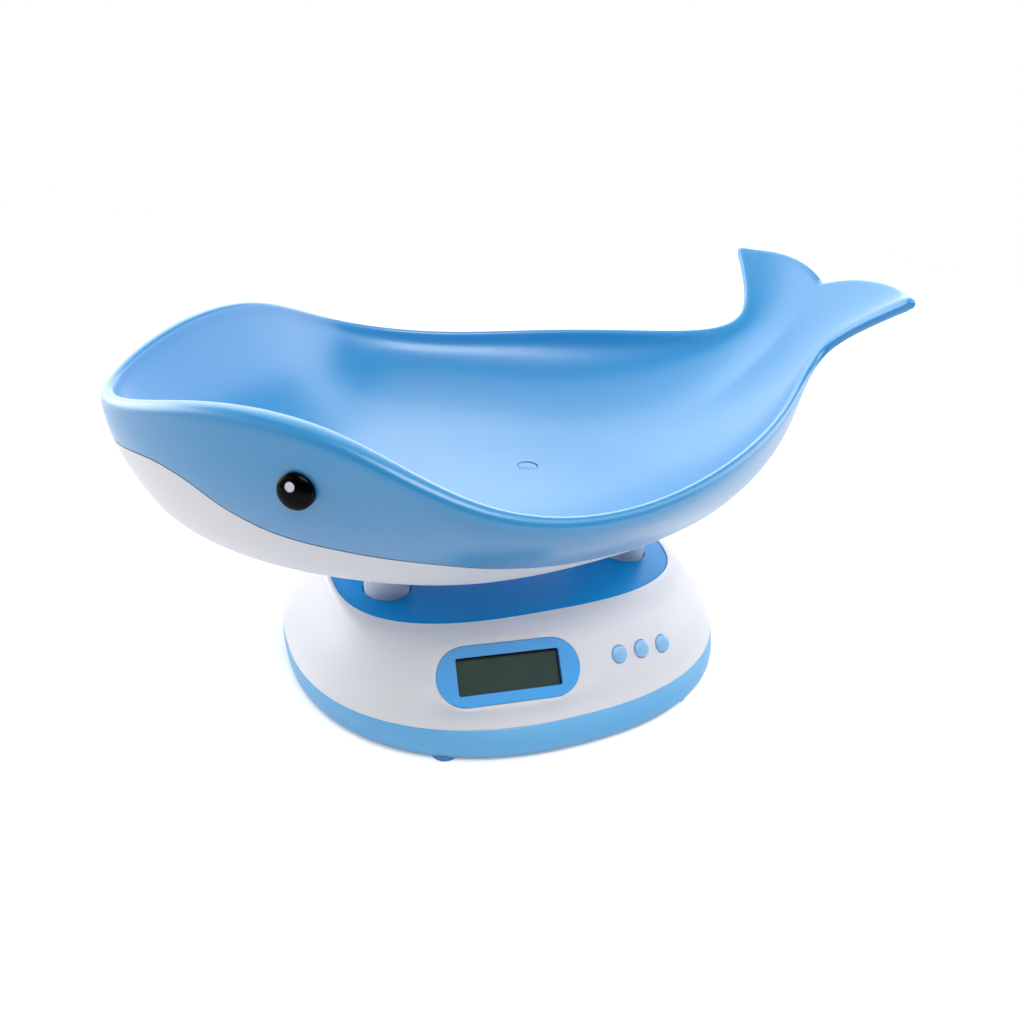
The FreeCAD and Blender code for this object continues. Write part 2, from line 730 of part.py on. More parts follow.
def make_lower_housing():
    """Light blue tub: floor, pedestal, screw bosses, battery compartment and board posts."""
    z0 = foot_height
    outer = ring_solid(skirt_rings)
    a, b, power, z = skirt_rings[-1]
    room = ring_solid([(x, y, n, max(q, z0 + base_wall)) for x, y, n, q in skirt_rings[1:-1]]
                      + [(a, b, power, z + 4)], base_wall)
    room = room.common(block(-300, 300, -300, 300, 0, z - 4))
    lip = ring_solid([(a, b, power, z - 3), (a, b, power, z + 3)], base_wall + 0.9)
    neck = ring_solid([(a, b, power, z - 6), (a, b, power, z + 4)], base_wall + 1.8)
    parts = [merged([outer, lip]).cut(room).cut(neck)]
    pedestal_x = base_centre - cell_length / 2
    half = cell_width / 2
    top = cell_bottom - spacer_thickness
    parts.append(block(pedestal_x, pedestal_x + spacer_length, -half, half, z0 + 1, top))
    for x, y in housing_screw_places:
        parts.append(cylinder(housing_boss_radius, z0 + 1, seam_height, x, y))
    bx, by = box_centre
    rx, ry = box_room[0] / 2, box_room[1] / 2
    w = box_wall
    parts.append(block(bx - rx - w, bx + rx + w, by - ry - w, by + ry + w, z0 + 1, box_top + w))
    for x, y in board_posts():
        parts.append(cylinder(2.6, z0 + 1, board_low, x, y))
    tub = merged(parts)
    tub = tub.cut(block(bx - rx, bx + rx, by - ry, by + ry, z0 - 1, box_top))
    tub = tub.cut(cover_opening())
    for side in (-1, 1):
        start = Vector(bx + side * (cover_half_x() + cover_gap - 0.1), hinge_y(), hinge_z())
        tub = tub.cut(Part.makeCylinder(hinge_pin_radius + hinge_pin_clearance, hinge_pin_length + 0.2,
                                        start, Vector(side, 0, 0)))
    # finger recess beside the free edge of the cover
    scoop = Part.makeCylinder(9, 16, Vector(bx - 8, by - ry - 8.5, z0 - 7.6), Vector(1, 0, 0))
    tub = tub.cut(scoop)
    for x, y in housing_screw_places:
        tub = tub.cut(cylinder(screw_head_radius + access_gap, z0 - 1, housing_screw_start, x, y))
        tub = tub.cut(cylinder(screw_radius + screw_clearance, z0, 22, x, y))
    for x in cell_holes(-1):
        tub = tub.cut(cylinder(screw_head_radius + access_gap, z0 - 1, top - pedestal_top, x, 0))
        tub = tub.cut(cylinder(screw_radius + screw_clearance, z0, top + 1, x, 0))
    for x, y in foot_places.values():
        tub = tub.cut(cylinder(foot_radius + press_gap, z0 - 1, z0 + foot_recess, x, y))
    return tub


def make_foot(x, y):
    body = cylinder(foot_radius, 0, foot_height + foot_recess, x, y)
    edge = [e for e in body.Edges if abs(e.CenterOfMass.z) < 0.01]
    return body.makeFillet(0.8, edge)


# --- battery compartment -----------------------------------------------------
def cover_half_x():
    return box_room[0] / 2 + 1.0


def hinge_y():
    return box_centre[1] + box_room[1] / 2 + 0.6


def hinge_z():
    return foot_height + cover_thickness / 2


def cover_opening():
    """Opening in the floor: the cover and its running gap."""
    half = cover_half_x() + cover_gap
    y0 = box_centre[1] - box_room[1] / 2 - 0.8 - cover_gap
    y1 = hinge_y() + cover_thickness / 2 + cover_gap
    return block(box_centre[0] - half, box_centre[0] + half, y0, y1,
                 foot_height - 1, foot_height + cover_thickness + 0.3)


def make_cover():
    """Flat cover with two hinge pins; the hinge edge is round about the pins."""
    half = cover_half_x()
    bx, by = box_centre
    y0 = by - box_room[1] / 2 - 0.8
    radius = cover_thickness / 2
    plate = block(bx - half, bx + half, y0, hinge_y(), foot_height, foot_height + cover_thickness)
    round_edge = Part.makeCylinder(radius, 2 * half, Vector(bx - half, hinge_y(), hinge_z()), Vector(1, 0, 0))
    parts = [plate, round_edge]
    for side in (-1, 1):
        start = Vector(bx + side * (half - 1), hinge_y(), hinge_z())
        parts.append(Part.makeCylinder(hinge_pin_radius, hinge_pin_length, start, Vector(side, 0, 0)))
    cover = merged(parts)
    for k in range(5):
        y = y0 + 4 + 2.4 * k
        groove = block(bx - 12, bx + 12, y, y + 1.0, foot_height - 1, foot_height + 0.5)
        cover = cover.cut(groove)
    return cover


def battery_rows():
    first = box_centre[1] - battery_pitch * (batteries_across - 1) / 2
    return [first + battery_pitch * k for k in range(batteries_across)]


def battery_axis():
    return box_top - battery_radius - 0.3


def make_batteries():
    cells = []
    for k, y in enumerate(battery_rows()):
        turn = 1 if k % 2 else -1
        middle = Vector(box_centre[0], y, battery_axis())
        start = middle - Vector(turn * battery_length / 2, 0, 0)
        can = Part.makeCylinder(battery_radius, battery_length - 1.0, start, Vector(turn, 0, 0))
        cap = Part.makeCylinder(1.9, 1.0, start + Vector(turn * (battery_length - 1.0), 0, 0), Vector(turn, 0, 0))
        cells.append(merged([can, cap]))
    return Part.makeCompound(cells)


def make_contacts():
    """A strip at each end of the compartment with a spring cone or a pad per battery."""
    strips = []
    z = battery_axis()
    for side in (-1, 1):
        wall = box_centre[0] + side * box_room[0] / 2
        reach = box_room[0] / 2 - battery_length / 2 - 0.1
        x0, x1 = sorted((wall - side * 0.05, wall - side * 0.65))
        parts = [block(x0, x1, box_centre[1] - 20.5, box_centre[1] + 20.5, z - 4, z + 4)]
        for y in battery_rows():
            start = Vector(wall - side * 0.35, y, z)
            parts.append(Part.makeCone(3.4, 1.8, reach - 0.35, start, Vector(-side, 0, 0)))
        strips.append(merged(parts))
    return Part.makeCompound(strips)


# --- electronics -----------------------------------------------------------------
def board_posts():
    cx, cy = board_place
    dx, dy = board_size[0] / 2 - 4, board_size[1] / 2 - 4
    return [(cx - dx, cy - dy), (cx - dx, cy + dy), (cx + dx, cy - dy), (cx + dx, cy + dy)]


def make_main_board():
    cx, cy = board_place
    dx, dy = board_size[0] / 2, board_size[1] / 2
    top = board_low + board_thickness
    parts = [block(cx - dx, cx + dx, cy - dy, cy + dy, board_low, top)]
    parts.append(block(cx - 9, cx + 3, cy - 6, cy + 6, top - 0.2, top + 1.6))
    parts.append(block(cx + 12, cx + 19, cy - 3, cy + 4, top - 0.2, top + 1.4))
    parts.append(block(cx - 32, cx - 24, cy - 9, cy + 9, top - 0.2, top + 5.5))
    parts.append(block(cx + 24, cx + 34, cy - 14, cy - 6, top - 0.2, top + 5.0))
    parts.append(cylinder(3.0, top - 0.2, top + 7.0, cx + 10, cy + 14))
    parts.append(cylinder(3.0, top - 0.2, top + 7.0, cx - 14, cy + 14))
    return merged(parts)


def make_button(name):
    along, level = button_row[name]
    low = -button_seat - stop_gap - button_flange_thickness
    rim = level + button_rim
    cap = lens(button_radius, rim, button_crown, low)
    flange = cylinder(button_radius + button_flange, low, low + button_flange_thickness)
    stem = cylinder(button_stem_radius, low - button_stem, low + 0.5)
    knob = merged([cap, flange, stem])
    knob.translate(Vector(along, 0, 0))
    return placed(knob, button_frame)


def switch_top():
    return -button_seat - stop_gap - button_flange_thickness - button_stem - switch_gap


def make_switches():
    top = switch_top()
    half = switch_side / 2
    cells = []
    for along, level in button_row.values():
        body = block(along - half, along + half, -half, half, top - plunger_height - switch_height,
                     top - plunger_height)
        cells.append(merged([body, cylinder(plunger_radius, top - plunger_height - 0.3, top, along, 0)]))
    return placed(Part.makeCompound(cells), button_frame)


def make_button_board():
    top = switch_top() - plunger_height - switch_height
    length, width = button_board
    board = slot_prism(length, width, 2, top - board_thickness, top)
    return placed(board, button_frame)


# --- display ---------------------------------------------------------------------
def make_bezel():
    top, low = bezel_proud, bezel_proud - bezel_thickness
    body = slot_prism(bezel_length, bezel_width, 40, low, top)
    edge = [e for e in body.Edges if abs(e.CenterOfMass.z - top) < 0.01]
    body = body.makeChamfer(0.3, edge)
    body = body.cut(slot_prism(window_length, window_width, window_corner, low - 1, top + 1))
    lap = 2 * window_lap + 0.4
    body = body.cut(slot_prism(window_length + lap, window_width + lap, window_corner, low - 1,
                               top - window_recess))
    return placed(body, display_frame)


def make_window():
    top = bezel_proud - window_recess
    lap = 2 * window_lap
    plate = slot_prism(window_length + lap, window_width + lap, window_corner, top - window_thickness, top)
    return placed(plate, display_frame)


def make_module():
    top = bezel_proud - bezel_thickness
    body = slot_prism(module_length, module_width, 1, top - module_thickness, top)
    glass = slot_prism(window_length + 2, window_width + 2, 1, top - 0.5, top + 0.9)
    return placed(merged([body, glass]), display_frame)


# --- everything --------------------------------------------------------------------
board_drop = button_flange_thickness + stop_gap + button_stem + switch_gap + plunger_height + switch_height

os.makedirs("parts", exist_ok=True)
whale = whale_solid()
hollow = whale_solid(tray_wall).common(block(-400, void_end, -300, 300, 0, 500))

extent = whale.common(fluke_keep()).optimalBoundingBox(False, False)
middle_x = (extent.XMin + extent.XMax) / 2
print("middle", middle_x, "length", extent.XLength, "width", extent.YLength, "height", extent.ZMax)

tray, belly = make_shells()
write(tray, "tray_shell")
write(belly, "belly_shell")
write(make_plug(), "tray_plug")
write(make_eye(1), "eye_back")
write(make_eye(-1), "eye_front")
pillar_names = ["pillar_front_head", "pillar_back_head", "pillar_front_tail", "pillar_back_tail"]
for name, (x, y) in zip(pillar_names, pillar_places()):
    write(make_pillar(x, y), name)
write(compound([screw(Vector(x, y, belly_bottom(x, y) - pillar_web), UP, tray_screw)
                      for x, y in pillar_places()]), "tray_screws")
low = frame_top - frame_thickness
write(compound([screw(Vector(x + side * pillar_screw_offset, y, low), UP, short_screw - 3.0)
                      for x, y in pillar_places() for side in (-1, 1)]), "pillar_screws")
write(make_platform_frame(), "platform_frame")
write(make_load_cell(), "load_cell")
write(make_spacer(-1), "cell_base_spacer")
write(make_spacer(1), "cell_platform_spacer")
write(cell_screws(-1), "cell_base_screws")
write(cell_screws(1), "cell_platform_screws")
write(make_top_panel(), "top_panel")
write(make_upper_housing(), "upper_housing")
write(make_lower_housing(), "lower_housing")
for name, (x, y) in foot_places.items():
    write(make_foot(x, y), "foot_" + name)
write(make_cover(), "battery_cover")
write(make_batteries(), "batteries")
write(make_contacts(), "battery_contacts")
write(make_main_board(), "main_board")
for name in button_row:
    write(make_button(name), "button_" + name)
write(make_switches(), "button_switches")
write(make_button_board(), "button_board")
write(make_bezel(), "display_bezel")
write(make_window(), "display_window")
write(make_module(), "lcd_module")
write(compound([screw(Vector(x, y, housing_screw_start), UP, housing_screw)
                      for x, y in housing_screw_places]), "housing_screws")
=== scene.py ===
import bpy
import bmesh
import math
from mathutils import Matrix, Vector


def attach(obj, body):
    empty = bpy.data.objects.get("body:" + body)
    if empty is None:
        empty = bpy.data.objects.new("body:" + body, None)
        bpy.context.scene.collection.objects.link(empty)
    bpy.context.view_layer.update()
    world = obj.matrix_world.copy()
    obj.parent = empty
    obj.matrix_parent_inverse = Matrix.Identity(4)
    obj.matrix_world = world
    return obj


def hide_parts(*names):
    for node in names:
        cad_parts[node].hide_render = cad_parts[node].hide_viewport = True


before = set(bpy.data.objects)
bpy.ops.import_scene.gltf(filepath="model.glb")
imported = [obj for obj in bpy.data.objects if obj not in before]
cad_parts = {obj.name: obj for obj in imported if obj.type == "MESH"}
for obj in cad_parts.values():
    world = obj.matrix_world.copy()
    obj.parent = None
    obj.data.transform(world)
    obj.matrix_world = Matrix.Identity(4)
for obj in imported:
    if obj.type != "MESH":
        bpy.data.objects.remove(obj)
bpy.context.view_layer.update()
mm = 0.001
middleX = 3.166             # the model's origin lies this far along the tray's own axis
sharpAngle = math.radians(38)


def place(x, y, z):
    return Vector((x - middleX, y, z)) * mm


def clamped(value):
    return max(0.0, min(1.0, value))


def smooth(value):
    # eases from 0 to 1 between these two values
    t = clamped(value)
    return t * t * (3 - 2 * t)


def planeFrame(centre, yaw, lean, tilt=0.0):
    # local axes of a panel on the front of the base; z points outwards
    turn, back, roll = math.radians(yaw), math.radians(lean), math.radians(tilt)
    along = Vector((math.cos(turn), math.sin(turn), 0))
    inward = Vector((-math.sin(turn), math.cos(turn), 0))
    rising = inward * math.sin(back) + Vector((0, 0, math.cos(back)))
    x = along * math.cos(roll) + rising * math.sin(roll)
    y = rising * math.cos(roll) - along * math.sin(roll)
    spot = Matrix((x, y, x.cross(y))).transposed().to_4x4()
    spot.translation = place(*centre)
    return spot


class Wire:
    # a shader socket that arithmetic can be written on
    def __init__(self, finish, socket):
        self.finish, self.socket = finish, socket

    def math(self, operation, *values):
        return self.finish.node("ShaderNodeMath", {"operation": operation}, dict(enumerate(values)))

    def __add__(self, other): return self.math("ADD", self, other)
    def __radd__(self, other): return self.math("ADD", other, self)
    def __sub__(self, other): return self.math("SUBTRACT", self, other)
    def __rsub__(self, other): return self.math("SUBTRACT", other, self)
    def __mul__(self, other): return self.math("MULTIPLY", self, other)
    def __rmul__(self, other): return self.math("MULTIPLY", other, self)
    def __abs__(self): return self.math("ABSOLUTE", self)
    def less(self, other): return self.math("LESS_THAN", self, other)
    def clamped(self): return self.finish.node("ShaderNodeClamp", {}, {"Value": self})


class Finish:
    # the shader nodes of a material or of the world
    def __init__(self, owner):
        owner.use_nodes = True
        self.owner, self.tree = owner, owner.node_tree
        self.tree.nodes.clear()

    def node(self, kind, settings=None, values=None, out=0):
        made = self.tree.nodes.new(kind)
        for key, value in (settings or {}).items():
            setattr(made, key, value)
        for key, value in (values or {}).items():
            if isinstance(value, Wire):
                self.tree.links.new(value.socket, made.inputs[key])
            else:
                made.inputs[key].default_value = value
        return Wire(self, made.outputs[out]) if made.outputs else made

    def coords(self):
        return self.node("ShaderNodeTexCoord", out="Object")

    def noise(self, scale, detail, rough=0.5):
        return self.node("ShaderNodeTexNoise", {}, {
            "Vector": self.coords(), "Scale": scale, "Detail": detail, "Roughness": rough})

    def mixColour(self, factor, first, second):
        # sockets 0, 6 and 7 are the factor and the two colours, output 2 is the mixed colour
        return self.node("ShaderNodeMix", {"data_type": "RGBA"}, {0: factor, 6: first, 7: second}, 2)

    def surface(self, values):
        shader = self.node("ShaderNodeBsdfPrincipled", {}, values)
        self.node("ShaderNodeOutputMaterial", {}, {"Surface": shader})
        return self.owner


def linear(red, green, blue):
    # a colour as the eye reads it, 0 to 255, to the shader's scale
    return tuple(c / 12.92 if c <= 0.04045 else ((c + 0.055) / 1.055) ** 2.4
                 for c in (red / 255, green / 255, blue / 255)) + (1.0,)


def darker(colour, share):
    return tuple(c * share for c in colour[:3]) + (1.0,)


def mouldedPlastic(name, colour, rough, coat=0.0, grain=0.02, shine=0.5, coatIor=1.5):
    # injection-moulded plastic: faint flow clouds, fine orange peel and handling marks
    finish = Finish(bpy.data.materials.new(name))
    base = finish.mixColour(finish.noise(9.0, 3.0, 0.6), colour, darker(colour, 0.94))
    smears = finish.noise(38.0, 4.0, 0.62)
    roughness = rough - 0.05 + 0.12 * smears
    peel = finish.noise(900.0, 2.0, 0.5)
    bump = finish.node("ShaderNodeBump", {}, {"Strength": grain * 4, "Distance": 0.00012, "Height": peel})
    return finish.surface({"Base Color": base, "Roughness": roughness, "Normal": bump,
                           "Coat Weight": coat, "Coat Roughness": 0.3, "Coat IOR": coatIor, "IOR": 1.5,
                           "Specular IOR Level": shine})


def metal(name, colour, rough, scratch):
    finish = Finish(bpy.data.materials.new(name))
    streaks = finish.noise(scratch, 6.0, 0.7)
    base = finish.mixColour(streaks, colour, darker(colour, 0.8))
    bump = finish.node("ShaderNodeBump", {}, {"Strength": 0.2, "Distance": 0.0001, "Height": streaks})
    return finish.surface({"Base Color": base, "Metallic": 1.0, "Roughness": rough - 0.08 + 0.2 * streaks,
                           "Normal": bump})


print("materials")
plastics = {
    # colour, roughness, and what differs from plain plastic
    "trayBlue": ((46, 153, 217), 0.4, {"coat": 0.95, "coatIor": 1.6}),
    "bellyWhite": ((240, 241, 247), 0.36, {"coat": 0.1}),
    "pillarWhite": ((238, 241, 250), 0.34, {}),
    "panelBlue": ((0, 150, 226), 0.38, {"shine": 0.2}),
    "housingWhite": ((236, 237, 243), 0.38, {"coat": 0.05}),
    "skirtBlue": ((112, 187, 240), 0.38, {"coat": 0.35}),
    "bezelBlue": ((66, 172, 248), 0.34, {"coat": 0.1}),
    "buttonBlue": ((150, 204, 248), 0.28, {"coat": 0.3}),
    # the feet: the skirt's blue painted darker, painted shade from standing in the shadow under the skirt
    "footBlue": ((74, 140, 200), 0.6, {"grain": 0.05}),
    "frameBlack": ((34, 35, 37), 0.5, {"grain": 0.06}),
    "switchBlack": ((26, 26, 28), 0.5, {}),
    "moduleGrey": ((60, 64, 64), 0.5, {}),
    "batteryCan": ((120, 126, 134), 0.3, {"coat": 0.3}),
}
metals = {
    # colour, roughness, scale of the streaks
    "screwSteel": ((190, 190, 194), 0.34, 60.0),
    "contactSteel": ((205, 203, 198), 0.26, 60.0),
    "cellAluminium": ((208, 210, 214), 0.38, 120.0),
}
finishes = {name: mouldedPlastic(name, linear(*colour), rough, **more)
            for name, (colour, rough, more) in plastics.items()}
for name, (colour, rough, scale) in metals.items():
    finishes[name] = metal(name, linear(*colour), rough, scale)


# the whale: control points as in the part's source, with the rim and the flukes refined
tray = {
    "reach": 256.0, "halfWidth": 176.0, "floor": 140.0, "keel": 107.0,
    "lip": 4.0, "flukeThickness": 9.0, "flukeAngle": 60.0,
    "flukeSpan": 101.6, "flukeNotch": 364.0, "flukeBulge": 12.5, "tipRise": 2.5, "tipRadius": 4.0,
    "tipSlope": 1.2, "tipFlare": 0.22, "crestAt": 0.52, "plateFront": 200.0, "plateColumns": 1.6,
    "squeeze": 1.7, "edgeRound": 4.2, "wall": 2.6, "seamGap": 1.2, "seamEdge": (0.25, 1.2),
    # the rim's crest, which is wider along the head
    "crestDrop": 1.2, "crestSquare": 2.0, "crestLift": 1.0, "crestWiden": 7.0, "headFade": (2.4, 0.6),
    # rim (along, out, up), scoop centre (along, up), keel (along, up), shoulder, share of fluke
    "stations": [
        (-0.996, 0.000, 77.5, -0.586, 6.0, -0.648, 14.0, 0.98, 0.0),
        (-0.996, 0.153, 77.5, -0.547, 5.0, -0.609, 12.0, 0.98, 0.0),
        (-0.844, 0.466, 98.5, -0.461, 3.0, -0.508, 5.0, 1.08, 0.0),
        (-0.594, 0.767, 98.5, -0.332, 1.0, -0.359, 2.0, 1.06, 0.0),
        (-0.367, 1.057, 64.0, -0.176, 0.0, -0.176, 0.0, 0.88, 0.0),
        (0.004, 1.000, 52.0, 0.078, 0.0, 0.078, 0.0, 0.86, 0.0),
        (0.387, 0.795, 65.0, 0.352, 4.0, 0.352, 7.0, 1.00, 0.0),
        (0.691, 0.472, 75.0, 0.594, 26.0, 0.625, 37.0, 1.00, 0.1),
        (0.875, 0.244, 86.0, 0.820, 70.0, 0.891, 89.0, 1.00, 0.5),
        (0.922, 0.318, 110.0, 0.938, 106.0, 0.973, 133.0, 1.00, 0.9),
    ],
    "tailEnd": (0.987, 0.700, 1.023, 150.0),
    "scoopShare": (0.0, 0.30, 0.58, 0.80, 0.925),
    "scoopRise": (0.0, 0.0, 0.15, 0.42, 0.72),
    "hullShare": (0.97, 0.89, 0.69, 0.33, 0.0),
    "hullRise": (0.75, 0.50, 0.05, 0.0, 0.0),
    "plateRise": (0.86, 0.62, 0.28, 0.0, 0.0), "firstTailStation": 6,
    # side view of the line where the white belly meets the tray
    "seam": [(-300, 186), (-262, 190), (-238, 195), (-222, 191), (-202, 178), (-178, 168), (-140, 163),
             (-100, 160), (-60, 153), (-20, 144), (30, 138.5), (90, 138), (170, 147), (260, 160)],
    "columns": 190, "scoopRows": 84, "hullRows": 56, "bellyRows": 44,
}
tailTurn = math.radians(tray["flukeAngle"])
through = Vector((math.sin(tailTurn), 0, -math.cos(tailTurn)))    # front of the tail plate to its back
rising = Vector((math.cos(tailTurn), 0, math.sin(tailTurn)))      # up the tail plate


def trayStations():
    rows = []
    for along, out, up, scAlong, scUp, keelAlong, keelUp, shoulder, fluke in tray["stations"]:
        rows.append((Vector((along * tray["reach"], out * tray["halfWidth"], tray["floor"] + up)),
                     Vector((scAlong * tray["reach"], 0, tray["floor"] + scUp)),
                     Vector((keelAlong * tray["reach"], 0, tray["keel"] + keelUp)), shoulder, fluke))
    along, out, centreAlong, centreUp = tray["tailEnd"]
    centre = Vector((centreAlong * tray["reach"], 0, tray["floor"] + centreUp))
    x = along * tray["reach"]
    rim = Vector((x, out * tray["halfWidth"], (centre.dot(rising) - rising.x * x) / rising.z))
    rows.append((rim, centre, centre + through * tray["flukeThickness"], 1.0, 1.0))
    return rows


def lengthwise(rows, k, item):
    # direction of the scoop line (item 1) or the keel (item 2) at station k
    if k < tray["firstTailStation"]:
        return Vector((1, 0, 0))
    return rising.copy() if k == len(rows) - 1 else (rows[k + 1][item] - rows[k - 1][item]).normalized()


def between(start, end, along, share, rise):
    # share of the way across and along, rise of the way off that line
    span = end - start
    lengthways = along * span.dot(along)
    across = Vector((0, span.y, 0))
    return start + (lengthways + across) * share + (span - lengthways - across) * rise


def controlRow(rows, k):
    # control points of one section, from the scoop centre over the rim to the keel
    rim, centre, keel, shoulder, fluke = rows[k]
    if k <= 1:
        plan = Vector((-1, 0, 0))
    elif k >= len(rows) - 3:
        plan = Vector((0, 1, 0))
    else:
        step = rows[k + 1][0] - rows[k - 1][0]
        plan = Vector((-step.y, step.x, 0)).normalized()
    out = (plan * (1 - fluke) + through * fluke).normalized()
    away = (Vector((0, 0, -1)) * (1 - fluke) + Vector((0, -1, 0)) * fluke).normalized()
    # the crest slopes outwards up to the tail, and is wider along the head
    lip = tray["lip"]
    head = clamped(-tray["headFade"][0] * rim.x / tray["reach"] - tray["headFade"][1])
    wide = tray["crestWiden"] * head * plan.y
    inner = rim - out * (lip + wide) - away * tray["crestLift"] * head
    outer = rim + out * lip + away * tray["crestDrop"] * (1 - fluke)
    innerWall = rim - out * (lip + wide) + away * lip * (3 - tray["crestSquare"] * head)
    outerWall = rim + out * lip + away * 3 * lip
    along = lengthwise(rows, k, 1)
    points = [between(centre, innerWall, along, share, rise)
              for share, rise in zip(tray["scoopShare"], tray["scoopRise"])]
    points += [innerWall, inner, outer, outerWall]
    along = lengthwise(rows, k, 2)
    for row, (share, rise) in enumerate(zip(tray["hullShare"], tray["hullRise"])):
        if row == len(tray["hullShare"]) - 1:
            fullness = 1.0
        else:
            fullness = (1 + shoulder) / 2 if row == 0 else shoulder
        rise = rise * (1 - fluke) + tray["plateRise"][row] * fluke
        points.append(between(keel, outerWall, along, share * (fullness * (1 - fluke) + fluke), rise))
    return points


def weights(t, count):
    # first control point and the four cubic weights at t, for clamped even knots
    last = count - 3
    knots = [0] * 3 + list(range(last + 1)) + [last] * 3
    span = min(int(t), last - 1) + 3
    values = [1.0]
    for degree in range(1, 4):
        grown, carried = [], 0.0
        for r in range(degree):
            right, left = knots[span + r + 1] - t, t - knots[span + 1 - degree + r]
            part = values[r] / (right + left)
            grown.append(carried + right * part)
            carried = left * part
        values = grown + [carried]
    return span - 3, values


stations = trayStations()
controlNet = [controlRow(stations, k) for k in range(len(stations))]
netU, netV = len(controlNet) - 3, len(controlNet[0]) - 3
rimRow, hullStart, rimEnd = 5.5, 7.0, 7.4       # row parameters: the rim's crest, the hull, the rim's foot


def blendRows(u):
    first, share = weights(u, len(controlNet))
    return [sum((controlNet[first + k][j] * share[k] for k in range(4)), Vector()) for j in range(netV + 3)]


def pointOn(row, v):
    first, share = weights(v, netV + 3)
    return sum((row[first + k] * share[k] for k in range(4)), Vector())


def seamHeight(x):
    line = tray["seam"]
    k = max(1, min(len(line) - 3, sum(1 for spot in line if spot[0] <= x) - 1))
    (x0, z0), (x1, z1), (x2, z2), (x3, z3) = line[k - 1:k + 3]
    t = clamped((x - x1) / (x2 - x1))
    m1, m2 = (z2 - z0) / (x2 - x0) * (x2 - x1), (z3 - z1) / (x3 - x1) * (x2 - x1)
    return ((2 * t ** 3 - 3 * t * t + 1) * z1 + (t ** 3 - 2 * t * t + t) * m1
            + (3 * t * t - 2 * t ** 3) * z2 + (t ** 3 - t * t) * m2)


def solve(test, low, high, steps=26):
    # where test turns true between low and high
    for _ in range(steps):
        middle = (low + high) / 2
        low, high = (low, middle) if test(middle) else (middle, high)
    return (low + high) / 2


crest = Vector((tray["flukeSpan"] * tray["crestAt"], tray["flukeNotch"] + tray["flukeBulge"]))
corner = Vector((tray["flukeSpan"], tray["flukeNotch"] + tray["tipRise"]))
backward, downward = (crest - corner).normalized(), Vector((-tray["tipSlope"], -1)).normalized()
halfTurn = backward.angle(downward) / 2
tipStart = corner + backward * tray["tipRadius"] / math.tan(halfTurn)
tipEnd = corner + downward * tray["tipRadius"] / math.tan(halfTurn)
tipCentre = corner + (backward + downward).normalized() * tray["tipRadius"] / math.sin(halfTurn)


def circleThrough(a, b, c):
    # centre and radius of the circle through three points
    ab, ac = b - a, c - a
    turn = 2 * (ab.x * ac.y - ab.y * ac.x)
    off = Vector((ac.y * ab.dot(ab) - ab.y * ac.dot(ac), ab.x * ac.dot(ac) - ac.x * ab.dot(ab))) / turn
    return a + off, off.length


rearCentre, rearRadius = circleThrough(Vector((0, tray["flukeNotch"])), crest, tipStart)


def rearRoom(point):
    # distance on the tail plate from a point to the rear edge of the fluke, negative beyond it
    spot = Vector((abs(point.y), point.dot(rising)))
    if spot.x < tipStart.x:
        return rearRadius - (spot - rearCentre).length if spot.y > rearCentre.y else rearRadius
    room = tray["tipRadius"] - (spot - tipCentre).length
    if room > 0:
        return room
    if spot.x < tipEnd.x:
        return room if spot.y > tipCentre.y else -room
    return tipEnd.y - tray["tipFlare"] * (spot.x - tipEnd.x) - spot.y


def seamRow(row):
    # row parameter where the hull crosses the seam, or the keel's where it doesn't
    def below(v):
        point = pointOn(row, v)
        return point.z < seamHeight(point.x)
    return solve(below, hullStart, netV) if below(netV) else netV


def keelAboveSeam(u):
    point = pointOn(blendRows(u), netV)
    return point.z > seamHeight(point.x)


bellyEnd = solve(keelAboveSeam, netU * 0.4, netU - 1.0)
plateStart = netU - tray["plateColumns"]


def trimmed(u, v):
    # squeeze the last columns so that they end, ever closer, on the rear edge of the flukes
    if u <= plateStart:
        return u
    end = solve(lambda q: rearRoom(pointOn(blendRows(q), v)) < 0, plateStart, netU)
    return plateStart + (end - plateStart) * (1 - ((netU - u) / (netU - plateStart)) ** tray["squeeze"])


def roundedRear(row, v, point):
    # half-round rear edge of the tail plate, about the surface midway between its two faces
    room, reach = max(0.0, rearRoom(point)), tray["edgeRound"]
    if room >= reach or point.x < tray["plateFront"]:
        return point
    if v < rimRow:
        other = solve(lambda q: abs(pointOn(row, q).y) < abs(point.y), rimRow, netV)
    else:
        other = solve(lambda q: abs(pointOn(row, q).y) > abs(point.y), 0.0, rimRow)
    off = (point - pointOn(row, other)).dot(through) / 2
    kept = math.sqrt(max(0.0, 1 - ((reach - room) / reach) ** 2))
    return point - through * off * (1 - kept)


def hullNormal(u, v):
    a, b = pointOn(blendRows(min(netU, u + 0.01)), v), pointOn(blendRows(max(0, u - 0.01)), v)
    row = blendRows(u)
    c, d = pointOn(row, min(netV, v + 0.01)), pointOn(row, max(0, v - 0.01))
    return (a - b).cross(c - d).normalized()


def sheetMesh(name, columns, rows, shape, closeRing=False):
    # a grid whose corners and points are moved to shape(s, t), both from 0 to 1
    bm = bmesh.new()
    bmesh.ops.create_grid(bm, x_segments=columns, y_segments=rows, size=0.5)
    for vert in bm.verts:
        vert.co = shape(min(1.0, max(0.0, vert.co.x + 0.5)), min(1.0, max(0.0, vert.co.y + 0.5)))
    if closeRing:
        bmesh.ops.remove_doubles(bm, verts=bm.verts, dist=1e-6)
    return bm


